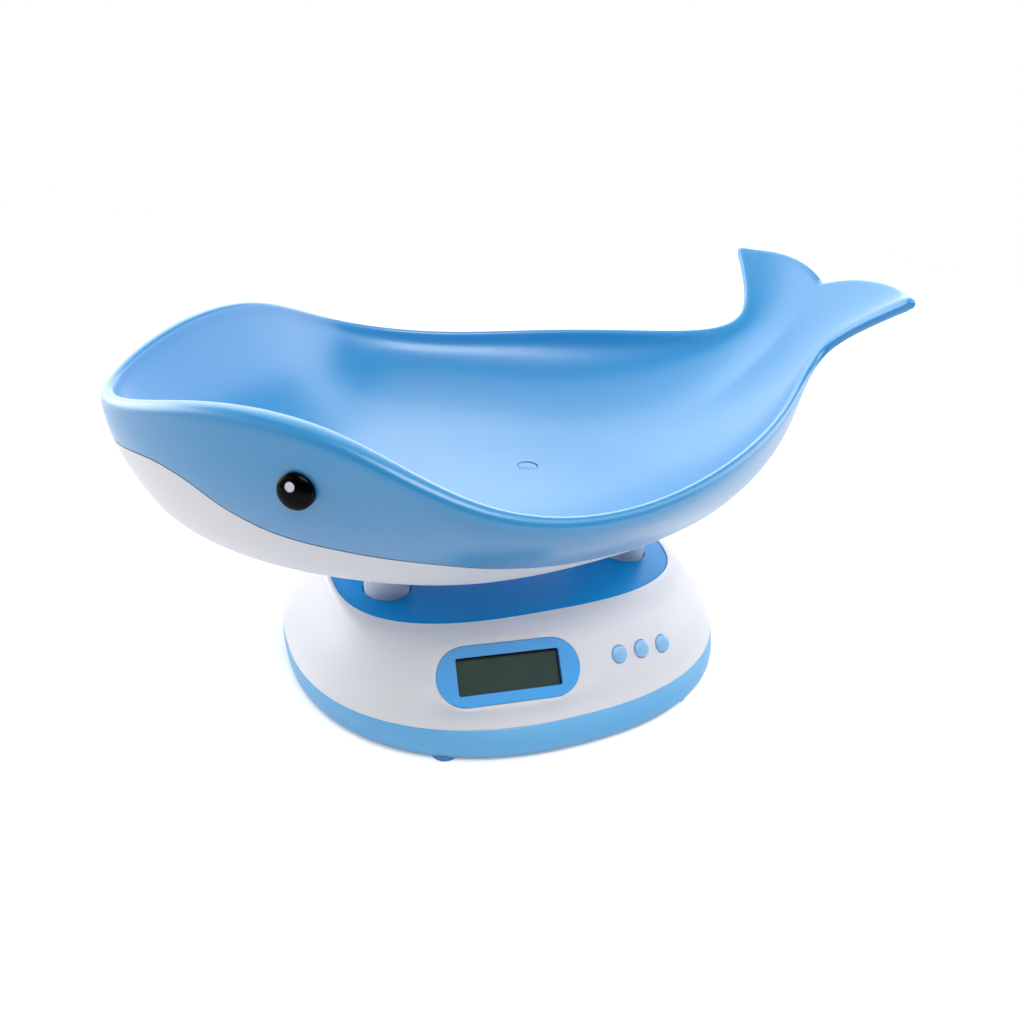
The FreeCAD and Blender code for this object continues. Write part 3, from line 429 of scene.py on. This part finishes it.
def finished(name, bm, material, body, nodes=()):
    bmesh.ops.recalc_face_normals(bm, faces=bm.faces)
    mesh = bpy.data.meshes.new(name)
    bm.to_mesh(mesh)
    bm.free()
    for face in mesh.polygons:
        face.use_smooth = True
    mesh.set_sharp_from_angle(angle=sharpAngle)
    piece = bpy.data.objects.new(name, mesh)
    bpy.context.scene.collection.objects.link(piece)
    mesh.materials.append(material)
    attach(piece, body)
    if nodes:
        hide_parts(*nodes)
    return piece


def bothSides(bm):
    bmesh.ops.mirror(bm, geom=bm.verts[:] + bm.edges[:] + bm.faces[:], merge_dist=2e-6, axis="Y")
    bmesh.ops.remove_doubles(bm, verts=bm.verts, dist=4e-6)


def buildTray():
    # scoop, rolled rim and hull down to the seam, with the seam's inner edge
    scoopRows, hullRows = tray["scoopRows"], tray["hullRows"]
    depths = (*tray["seamEdge"], tray["wall"])
    total = scoopRows + hullRows + len(depths)
    seams = {}

    def shape(s, t):
        column = round(s * tray["columns"])
        u = netU * s
        if column not in seams:
            seams[column] = seamRow(blendRows(u))
        k = t * total
        if k <= scoopRows:
            v = rimEnd * k / scoopRows
        else:
            part = min(1.0, (k - scoopRows) / hullRows)
            v = rimEnd + (seams[column] - rimEnd) * part
        row = blendRows(trimmed(u, v))
        point = roundedRear(row, v, pointOn(row, v))
        if k > scoopRows + hullRows and seams[column] < netV:
            edgeRow = min(len(depths), round(k - scoopRows - hullRows))
            point = point - hullNormal(u, v) * depths[edgeRow - 1]
        if s == 0 or t == 0 or (t == 1 and seams[column] >= netV):
            point.y = 0
        return place(*point)

    bm = sheetMesh("trayShell", tray["columns"], total, shape)
    bothSides(bm)
    return bm


def buildBelly():
    # hull below the seam, closed towards the tail where the seam meets the keel
    depths = (tray["wall"], *reversed(tray["seamEdge"]))
    rows, edgeRows = tray["bellyRows"], len(depths)
    total = rows + edgeRows

    def shape(s, t):
        u = bellyEnd * s
        row = blendRows(u)
        start = seamRow(row)
        step = pointOn(row, start) - pointOn(row, min(netV, start + 0.1))
        gap = tray["seamGap"] / max(1.0, step.length * 10)
        start = min(netV, start + gap)
        k = t * total
        v = start + (netV - start) * max(0.0, k - edgeRows) / rows
        point = pointOn(row, v)
        if k < edgeRows - 0.5:
            point = point - hullNormal(u, v) * depths[round(k)]
        if s == 0 or t == 1:
            point.y = 0
        return place(*point)

    bm = sheetMesh("bellyShell", tray["columns"], total, shape)
    bothSides(bm)
    return bm


print("tray and belly")
trayShell = finished("trayShell", buildTray(), finishes["trayBlue"], "platform", ("tray_shell",))
finished("bellyShell", buildBelly(), finishes["bellyWhite"], "platform", ("belly_shell",))


base = {
    # half length, half width, outline exponent, height, middle along x
    "rings": [(169.4, 137.0, 2.32, 19.4, 5.3), (165.2, 133.2, 2.38, 26.0, 5.2),
              (158.6, 129.2, 2.48, 37.0, 4.4), (151.4, 122.8, 2.62, 48.0, 3.6),
              (144.4, 114.8, 2.72, 57.5, 2.8), (139.6, 107.0, 2.80, 64.0, 2.0),
              (137.0, 98.0, 2.80, 67.6, 1.2), (135.0, 87.5, 2.80, 69.3, 0.8)],
    "skirt": [(167.8, 145.8, 2.28, 2.4, 5.3), (169.2, 147.0, 2.28, 4.6, 5.3), (169.7, 146.4, 2.28, 8.5, 5.3),
              (169.8, 143.0, 2.30, 13.5, 5.3), (169.4, 137.3, 2.32, 19.1, 5.3)],
    "panel": (132.0, 83.0, 2.8), "panelSeat": 65.6, "panelTop": 68.2, "panelMiddle": 0.8,
    "panelCut": (60, 75), "wall": 2.6, "segments": 300, "rows": 72, "skirtRows": 36,
    "tubMiddle": 4.8, "tubShrink": 0.98, "tubFade": (0.86, 0.06),
    "pillar": 16.2, "pillarCad": 17.7, "pillarGap": 1.0, "pillarAlong": 96.5, "pillarAcross": 23.0,
    "feet": {"foot_front_head": (-84.0, -121.3), "foot_back_head": (-84.0, 121.3),
             "foot_front_tail": (93.6, -119.5), "foot_back_tail": (93.6, 119.5)}, "foot": 9.5,
}
display = {
    "centre": (-40.2, -117.0, 51.6), "yaw": -7.0, "lean": 42.4,
    # the field's shift widens the window's dark edge along the top and right: painted shadow of the recess
    "bezel": (97.5, 39.5), "depth": 5.2, "window": (70.0, 24.2), "shadowShift": (0.5, 1.1),
    "fieldFade": (-1.6, 0.2), "pocketTop": 12.0, "facetMargin": 2.0,
    "facetBlend": 45.0, "facetFall": 4.0, "facetFoot": (8.5, 19.1),
}
buttons = {
    "centre": (59.2, -118.5, 49.2), "yaw": 7.0, "lean": 36.9, "tilt": -3.0,
    "caps": {"left": (-19.25, 0.4), "middle": (0.0, 0.6), "right": (19.25, -0.7)},
    "hole": 6.5, "holeReach": (-7, 10), "cap": 6.1, "crown": 2.6, "capDepth": 3.5,
}
displaySpot = planeFrame(display["centre"], display["yaw"], display["lean"])
buttonSpot = planeFrame(buttons["centre"], buttons["yaw"], buttons["lean"], buttons["tilt"])


def ringPoint(ring, s):
    # point of a rounded outline at the share s of the way round
    a, b, power, z, middle = ring
    c, d = math.cos(2 * math.pi * s), math.sin(2 * math.pi * s)
    return place(middle + a * math.copysign(abs(c) ** (2 / power), c),
                 b * math.copysign(abs(d) ** (2 / power), d), z)


def inset(ring, by, up=0.0):
    a, b, power, z, middle = ring
    return a - by, b - by, power, z + up, middle


def ringAt(rings, q):
    # ring sizes at a fractional ring number, smoothly between the listed rings
    k = min(int(q), len(rings) - 2)
    t = q - k
    p0, p1, p2, p3 = (rings[max(0, min(len(rings) - 1, k + d))] for d in (-1, 0, 1, 2))
    return [b + 0.5 * ((c - a) * t + (2 * a - 5 * b + 4 * c - d) * t * t + (3 * b - a - 3 * c + d) * t ** 3)
            for a, b, c, d in zip(p0, p1, p2, p3)]


def stadiumDistance(x, y, length, width):
    # distance outside a slot with round ends, negative inside
    return math.hypot(max(0.0, abs(x) - (length - width) / 2), y) - width / 2


def flattened(point):
    # the dome runs flat into the display's facet
    local = displaySpot.inverted() @ point
    away = stadiumDistance(local.x / mm, local.y / mm, *display["bezel"]) - display["facetMargin"]
    low, high = display["facetFoot"]
    share = (1 - smooth(away / display["facetBlend"])) * smooth((point.z / mm - low) / (high - low))
    fall = clamped(4 * away / display["facetBlend"]) * (local.z / mm / display["facetFall"]) ** 2
    local.z *= 1 - share / (1 + fall)
    return displaySpot @ local


def ringSheet(name, foot, rings, rows, head, bend=None):
    # rings listed one by one, then smooth rows between rings, then listed rings again
    total = len(foot) + (rows if rings else -1) + len(head)

    def shape(s, t):
        k = round(t * total)
        if k < len(foot):
            ring = foot[k]
        elif rings and k <= len(foot) + rows:
            ring = ringAt(rings, (k - len(foot)) / rows * (len(rings) - 1))
        else:
            ring = head[k - total - 1 + len(head)]
        return bend(ringPoint(ring, s)) if bend else ringPoint(ring, s)

    return sheetMesh(name, base["segments"], total, shape, True)


def panelRing(by, z):
    a, b, power = base["panel"]
    return a - by, b - by, power, z, base["panelMiddle"]


def buildDome():
    rings = base["rings"]
    low, high = rings[0], rings[-1]
    top, seat = high[3], base["panelSeat"]
    foot = [inset(low, base["wall"]), inset(low, 0.7), inset(low, 0.2, 0.2)]
    head = [inset(high, 0.8, 0.05), panelRing(-0.75, top - 0.1), panelRing(-0.3, top - 0.6),
            panelRing(-0.3, seat), panelRing(6, seat), panelRing(6, seat - 3)]
    return ringSheet("domeShell", foot, rings, base["rows"], head, flattened)


def buildSkirt():
    # outer band of the lower housing, rounded at its foot and turned in at the joint
    rings = base["skirt"]
    return ringSheet("skirtBand", [inset(rings[0], 9), inset(rings[0], 1.2)], rings, base["skirtRows"],
                     [inset(rings[-1], 0.5, 0.15), inset(rings[-1], 2.4, 0.15)], flattened)


def buildPanel():
    low, top = base["panelSeat"] + 0.1, base["panelTop"]
    under = [panelRing(base["panel"][1] * k / 6, low) for k in (5.99, 4, 2)]
    rim = [panelRing(0.6, low), panelRing(0, low + 0.4), panelRing(0, top - 0.8), panelRing(0.1, top - 0.35),
           panelRing(0.35, top - 0.1), panelRing(0.9, top)]
    over = [panelRing(base["panel"][1] * k / 12, top) for k in (1, 2, 4, 6, 8, 10, 11.98)]
    bm = ringSheet("panel", under + rim + over, None, 0, [])
    bmesh.ops.holes_fill(bm, edges=[edge for edge in bm.edges if edge.is_boundary])
    return bm


def reshaped(name, node, move, material, body):
    # the CAD node's own mesh with its points moved
    bm = bmesh.new()
    bm.from_mesh(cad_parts[node].data)
    bmesh.ops.transform(bm, matrix=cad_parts[node].matrix_world, verts=bm.verts)
    bmesh.ops.remove_doubles(bm, verts=bm.verts, dist=2e-6)
    for vert in bm.verts:
        vert.co = move(vert.co)
    return finished(name, bm, material, body, (node,))


def shrunkTub(point):
    # outer wall drawn in behind the skirt band
    a, b, power = base["skirt"][1][:3]
    middle = place(base["tubMiddle"], 0, 0)
    x, y = (point.x - middle.x) / mm, point.y / mm
    reach = (abs(x / a) ** power + abs(y / b) ** power) ** (1 / power)
    start, width = base["tubFade"]
    share = 1 - (1 - base["tubShrink"]) * smooth((reach - start) / width)
    return Vector((middle.x + x * share * mm, y * share * mm, point.z))


def buildFoot(x, y):
    radius = base["foot"]
    rings = [(radius * k, radius * k, 2.0, z, x) for k, z in
             ((0.001, 0.0), (0.9, 0.0), (0.97, 0.2), (1.0, 0.6), (1.0, 3.2), (0.6, 3.3))]
    last = len(rings) - 1
    bm = sheetMesh("foot", 64, last, lambda s, t: ringPoint(rings[round(t * last)], s), True)
    bmesh.ops.translate(bm, verts=bm.verts, vec=(0, y * mm, 0))
    return bm


def buildCap(along, level):
    # pill-shaped button cap: straight side, rounded edge and low crown
    radius, crown, steps = buttons["cap"], buttons["crown"], 16

    def shape(s, t):
        k = round(t * (steps + 1))
        if k == 0:
            out, up = radius, level - buttons["capDepth"]
        else:
            turn = math.pi / 2 * (k - 1) / steps
            out, up = radius * math.cos(turn) ** 0.7, level + crown * (math.sin(turn) ** 0.8 - 0.25)
        angle = 2 * math.pi * s
        return buttonSpot @ (Vector((along + out * math.cos(angle), out * math.sin(angle), up)) * mm)

    return sheetMesh("cap", 64, steps + 1, shape, True)


def prism(outline, low, high, spot):
    # closed prism on a local frame, for cutting
    bm = bmesh.new()
    face = bm.faces.new([bm.verts.new((x * mm, y * mm, low * mm)) for x, y in outline])
    top = bmesh.ops.extrude_face_region(bm, geom=[face])["geom"]
    bmesh.ops.translate(bm, verts=[v for v in top if isinstance(v, bmesh.types.BMVert)],
                        vec=(0, 0, (high - low) * mm))
    bmesh.ops.recalc_face_normals(bm, faces=bm.faces)
    bmesh.ops.transform(bm, matrix=spot, verts=bm.verts)
    return bm


def slotOutline(length, width, steps=40):
    half, radius = (length - width) / 2, width / 2
    points = []
    for k in range(2 * steps):
        turn = math.pi * (k + 0.5) / steps - math.pi / 2
        side = half if k < steps else -half
        points.append((side + radius * math.cos(turn), radius * math.sin(turn)))
    return points


def roundOutline(radius, x=0.0, steps=64):
    turns = [2 * math.pi * k / steps for k in range(steps)]
    return [(x + radius * math.cos(turn), radius * math.sin(turn)) for turn in turns]


def pieceName(node):
    first, *rest = node.split("_")
    return first + "".join(word.title() for word in rest)


def cutBy(piece, cutters):
    # exact cuts, applied to the mesh
    for bm in cutters:
        mesh = bpy.data.meshes.new("cutter")
        bm.to_mesh(mesh)
        bm.free()
        cutter = bpy.data.objects.new("cutter", mesh)
        bpy.context.scene.collection.objects.link(cutter)
        cut = piece.modifiers.new("cut", "BOOLEAN")
        cut.operation, cut.solver, cut.object = "DIFFERENCE", "EXACT", cutter
        bpy.context.view_layer.update()
        graph = bpy.context.evaluated_depsgraph_get()
        result = bpy.data.meshes.new_from_object(piece.evaluated_get(graph))
        piece.modifiers.clear()
        old = piece.data
        piece.data = result
        bpy.data.meshes.remove(old)
        bpy.data.objects.remove(cutter)
        bpy.data.meshes.remove(mesh)
    piece.data.set_sharp_from_angle(angle=sharpAngle)


print("base")
domeShell = finished("domeShell", buildDome(), finishes["housingWhite"], "base", ("upper_housing",))
pocket = prism(slotOutline(*display["bezel"]), -display["depth"], display["pocketTop"], displaySpot)
holes = [prism(roundOutline(buttons["hole"], along), *buttons["holeReach"], buttonSpot)
         for along, level in buttons["caps"].values()]
cutBy(domeShell, [pocket] + holes)
finished("skirtBand", buildSkirt(), finishes["skirtBlue"], "base", ())
reshaped("lowerTub", "lower_housing", shrunkTub, finishes["skirtBlue"], "base")

topPanel = finished("topPanel", buildPanel(), finishes["panelBlue"], "base", ("top_panel",))
pillars = {"pillar_front_head": (-1, -1), "pillar_back_head": (-1, 1),
           "pillar_front_tail": (1, -1), "pillar_back_tail": (1, 1)}
holes = []
for node, (sideX, sideY) in pillars.items():
    axis = place(sideX * base["pillarAlong"], sideY * base["pillarAcross"], 0)
    outline = roundOutline(base["pillar"] + base["pillarGap"])
    holes.append(prism(outline, *base["panelCut"], Matrix.Translation(axis)))

    def narrowed(point, axis=axis, share=base["pillar"] / base["pillarCad"]):
        return Vector((axis.x + (point.x - axis.x) * share, axis.y + (point.y - axis.y) * share, point.z))

    reshaped(pieceName(node), node, narrowed, finishes["pillarWhite"], "platform")
cutBy(topPanel, holes)

for node, (x, y) in base["feet"].items():
    finished(pieceName(node), buildFoot(x, y), finishes["footBlue"], "base", (node,))
for side, (along, level) in buttons["caps"].items():
    finished(side + "Cap", buildCap(along, level), finishes["buttonBlue"], side + "_button",
             ("button_" + side,))

plug = {"along": 16.0, "hole": 7.6, "cut": (136.2, 146)}
plugSpot = Matrix.Translation(place(plug["along"], 0, 0))
cutBy(trayShell, [prism(roundOutline(plug["hole"]), *plug["cut"], plugSpot)])


# eyes: polished domes, turned a little towards the front of the scale
eyes = {
    "along": -169.7, "height": 201.8, "radius": 9.8, "rim": 0.9, "crown": 4.3, "depth": 6.0, "lift": 2.4,
    "facing": (-0.38, 0.80, 0.46), "turn": 0.4, "glint": (-1.6, 3.2), "glintRadius": 0.0028,
}


def eyeSpot(side):
    # seat of an eye on the hull, found in turns along and down it; its z axis points outwards
    v = 8.5
    for _ in range(5):
        u = solve(lambda q: pointOn(blendRows(q), v).x > eyes["along"], 0.2, 6.0)
        row = blendRows(u)
        v = solve(lambda q: pointOn(row, q).z < eyes["height"], hullStart, 10.5)
    seat, normal = pointOn(row, v), hullNormal(u, v)
    normal = normal if normal.y > 0 else -normal
    z = normal.lerp(Vector(eyes["facing"]), eyes["turn"]).normalized()
    z.y, seat.y = side * z.y, side * seat.y
    x = Vector((0, 0, 1)).cross(z).normalized()
    spot = Matrix((x, z.cross(x), z)).transposed().to_4x4()
    spot.translation = place(*(seat + z * eyes["lift"]))
    return spot


def eyeHeight(out):
    # height of the dome above its seat at a distance from its middle
    share = min(1.0, out / eyes["radius"])
    return eyes["rim"] + (eyes["crown"] - eyes["rim"]) * (1 - share ** 2.2) ** (1 / 1.8)


def buildEye(spot):
    steps = 24

    def shape(s, t):
        k = round(t * (steps + 1))
        out = eyes["radius"] * math.cos(math.pi / 2 * max(0, k - 1) / steps)
        up = -eyes["depth"] if k == 0 else eyeHeight(out)
        angle = 2 * math.pi * s
        return spot @ (Vector((out * math.cos(angle), out * math.sin(angle), up)) * mm)

    return sheetMesh("eye", 80, steps + 1, shape, True)


def eyeFinish(spots, radius):
    # polished black with one pale glint on each eye
    finish = Finish(bpy.data.materials.new("eyeBlack"))
    where = finish.coords()
    glint = 0.0
    for spot in spots:
        away = finish.node("ShaderNodeVectorMath", {"operation": "DISTANCE"}, {0: where, 1: spot}, "Value")
        glint += finish.node("ShaderNodeMapRange", {"interpolation_type": "SMOOTHSTEP"},
                             {"Value": away, "From Min": radius * 0.82, "From Max": radius,
                              "To Min": 1.0, "To Max": 0.0})
    smears = finish.noise(120.0, 4.0)
    base = finish.mixColour(glint, linear(5, 5, 7), linear(214, 219, 230))
    return finish.surface({"Base Color": base, "Roughness": 0.12 + 0.05 * smears,
                           "Specular IOR Level": 0.08})


print("eyes")
eyeSeats = {"eyeFront": ("eye_front", eyeSpot(-1), -1), "eyeBack": ("eye_back", eyeSpot(1), 1)}
glints = []
for node, spot, side in eyeSeats.values():
    x, y = -side * eyes["glint"][0], eyes["glint"][1]
    glints.append(spot @ (Vector((x, y, eyeHeight(math.hypot(x, y)))) * mm))
finishes["eyeBlack"] = eyeFinish(glints, eyes["glintRadius"])
for name, (node, spot, side) in eyeSeats.items():
    finished(name, buildEye(spot), finishes["eyeBlack"], "platform", (node,))


def windowFinish(spot):
    # tinted window over an unlit display: a green-grey field inside a darker edge, which is the glass's own
    # dark border, widened along the top and right by painted shadow of the recess
    finish = Finish(bpy.data.materials.new("windowDark"))
    inside = finish.node("ShaderNodeMapping", {"vector_type": "TEXTURE"},
                         {"Vector": finish.coords(), "Location": spot.translation,
                          "Rotation": spot.to_euler()})
    x, y = (abs(finish.node("ShaderNodeSeparateXYZ", {}, {0: inside}, axis) + shift * mm) - size / 2 * mm
            for axis, shift, size in zip("XY", display["shadowShift"], display["window"]))
    edge = x.math("MAXIMUM", x, y)
    low, high = display["fieldFade"]
    rim = finish.node("ShaderNodeMapRange", {"interpolation_type": "SMOOTHSTEP"},
                      {"Value": edge, "From Min": low * mm, "From Max": high * mm})
    haze = finish.noise(60.0, 2.0)
    field = finish.mixColour(haze, linear(58, 75, 68), linear(66, 83, 76))
    # dark edge: the glass's own dark border, widened along the top and right by painted shadow
    base = finish.mixColour(rim, field, linear(16, 22, 24))
    return finish.surface({"Base Color": base, "Roughness": 0.2 + 0.1 * haze,
                           "Specular IOR Level": 0.1})


def boardFinish():
    # green solder mask with paler tracks
    finish = Finish(bpy.data.materials.new("boardGreen"))
    cells = finish.node("ShaderNodeTexVoronoi", {"distance": "CHEBYCHEV"},
                        {"Vector": finish.coords(), "Scale": 240.0}, "Distance")
    tracks = cells.less(0.24)
    base = finish.mixColour(tracks * 0.5, linear(18, 84, 50), linear(60, 140, 84))
    return finish.surface({"Base Color": base, "Roughness": 0.42 - 0.1 * tracks})


# finishes of the nodes that are shown as they are
finishes["windowDark"] = windowFinish(displaySpot)
finishes["boardGreen"] = boardFinish()
nodeFinish = {
    "trayBlue": ["tray_plug"],
    "screwSteel": ["tray_screws", "pillar_screws", "cell_base_screws", "cell_platform_screws",
                   "housing_screws", "cell_base_spacer", "cell_platform_spacer"],
    "frameBlack": ["platform_frame"], "cellAluminium": ["load_cell"],
    "skirtBlue": ["battery_cover"], "batteryCan": ["batteries"], "contactSteel": ["battery_contacts"],
    "boardGreen": ["main_board", "button_board"], "switchBlack": ["button_switches"],
    "bezelBlue": ["display_bezel"], "windowDark": ["display_window"], "moduleGrey": ["lcd_module"],
}
print("node finishes")
for finishName, names in nodeFinish.items():
    for name in names:
        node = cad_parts[name]
        for slotHere in node.material_slots:
            slotHere.material = finishes[finishName]
        if not node.material_slots:
            node.data.materials.append(finishes[finishName])


# floor, light and camera; the glow only lifts the floor that the camera sees straight
stageValues = {
    "floor": (0.8, 0.8, 0.81, 1), "seenFloor": (0.9, 0.9, 0.91, 1), "glow": (0.3, 0.3, 0.3, 1),
    "white": (1, 1, 1, 1), "black": (0, 0, 0, 1), "room": 0.02, "floorSize": 2.1, "aim": (0, 0, 0.15),
}
view = {
    "azimuth": -25.3, "elevation": 27.4, "roll": 5.1, "target": (6.55, 0, 102.97), "distance": 0.6074,
    "sensor": 36.0, "lens": 28.125, "clipStart": 0.05,
}
lamps = {
    # name: place, width, height, power
    "backWall": ((0.2, 2.2, 1.0), 4.4, 2.0, 62.0), "backLeft": ((-1.9, 1.3, 0.8), 1.8, 1.4, 32.0),
    "backRight": ((1.9, 1.3, 0.8), 1.8, 1.4, 14.0), "topBack": ((0, 1.0, 1.8), 1.6, 1.4, 8.4),
    "topFront": ((0, -0.95, 1.7), 1.4, 0.9, 23.0), "topFrontRight": ((1.1, -0.75, 1.6), 1.0, 0.9, 4.5),
    "left": ((-2.0, -0.2, 0.8), 1.4, 1.4, 3.0), "right": ((2.0, -0.2, 0.8), 1.4, 1.4, 13.0),
}


def floorFinish():
    # pale floor that keeps the shadow and shows near white to the camera
    finish = Finish(bpy.data.materials.new("paleFloor"))
    direct, behindGlass, glossy = (finish.node("ShaderNodeLightPath", out="Is %s Ray" % kind)
                                   for kind in ("Camera", "Transmission", "Glossy"))
    straight = (direct + behindGlass).clamped()
    colour = finish.mixColour((straight + glossy).clamped(), stageValues["floor"], stageValues["seenFloor"])
    glow = finish.mixColour(straight, stageValues["black"], stageValues["glow"])
    return finish.surface({"Base Color": colour, "Roughness": 1.0, "Specular IOR Level": 0.0,
                           "Emission Color": glow, "Emission Strength": 1.0})


def lamp(name, spot, wide, high, power):
    light = bpy.data.lights.new(name, "AREA")
    light.shape, light.size, light.size_y, light.energy = "RECTANGLE", wide, high, power
    piece = bpy.data.objects.new(name, light)
    bpy.context.scene.collection.objects.link(piece)
    piece.location = spot
    piece.rotation_euler = (Vector(spot) - Vector(stageValues["aim"])).to_track_quat("Z", "Y").to_euler()


print("stage")
bm = bmesh.new()
bmesh.ops.create_grid(bm, x_segments=1, y_segments=1, size=stageValues["floorSize"])
floorMesh = bpy.data.meshes.new("floor")
bm.to_mesh(floorMesh)
bm.free()
floor = bpy.data.objects.new("floor", floorMesh)
bpy.context.scene.collection.objects.link(floor)
floorMesh.materials.append(floorFinish())

world = bpy.data.worlds.new("paleRoom")
bpy.context.scene.world = world
room = Finish(world)
dim, bright = (room.node("ShaderNodeBackground", {}, {"Color": stageValues["white"], "Strength": strength})
               for strength in (stageValues["room"], 1.0))
seen = room.node("ShaderNodeLightPath", out="Is Camera Ray")
both = room.node("ShaderNodeMixShader", {}, {0: seen, 1: dim, 2: bright})
room.node("ShaderNodeOutputWorld", {}, {"Surface": both})

for name, values in lamps.items():
    lamp(name, *values)

azimuth, elevation, roll = (math.radians(view[turn]) for turn in ("azimuth", "elevation", "roll"))
right = Vector((math.cos(azimuth), math.sin(azimuth), 0))
back = Vector((right.y * math.cos(elevation), -right.x * math.cos(elevation), math.sin(elevation)))
up = back.cross(right)
cameraAxes = Matrix((right * math.cos(roll) + up * math.sin(roll),
                     up * math.cos(roll) - right * math.sin(roll), back)).transposed().to_4x4()
camera = bpy.data.objects.new("camera", bpy.data.cameras.new("camera"))
bpy.context.scene.collection.objects.link(camera)
camera.data.sensor_width, camera.data.lens = view["sensor"], view["lens"]
camera.data.clip_start = view["clipStart"]
camera.matrix_world = Matrix.Translation(place(*view["target"]) + back * view["distance"]) @ cameraAxes
bpy.context.scene.camera = camera
bpy.context.scene.view_settings.view_transform = "Standard"
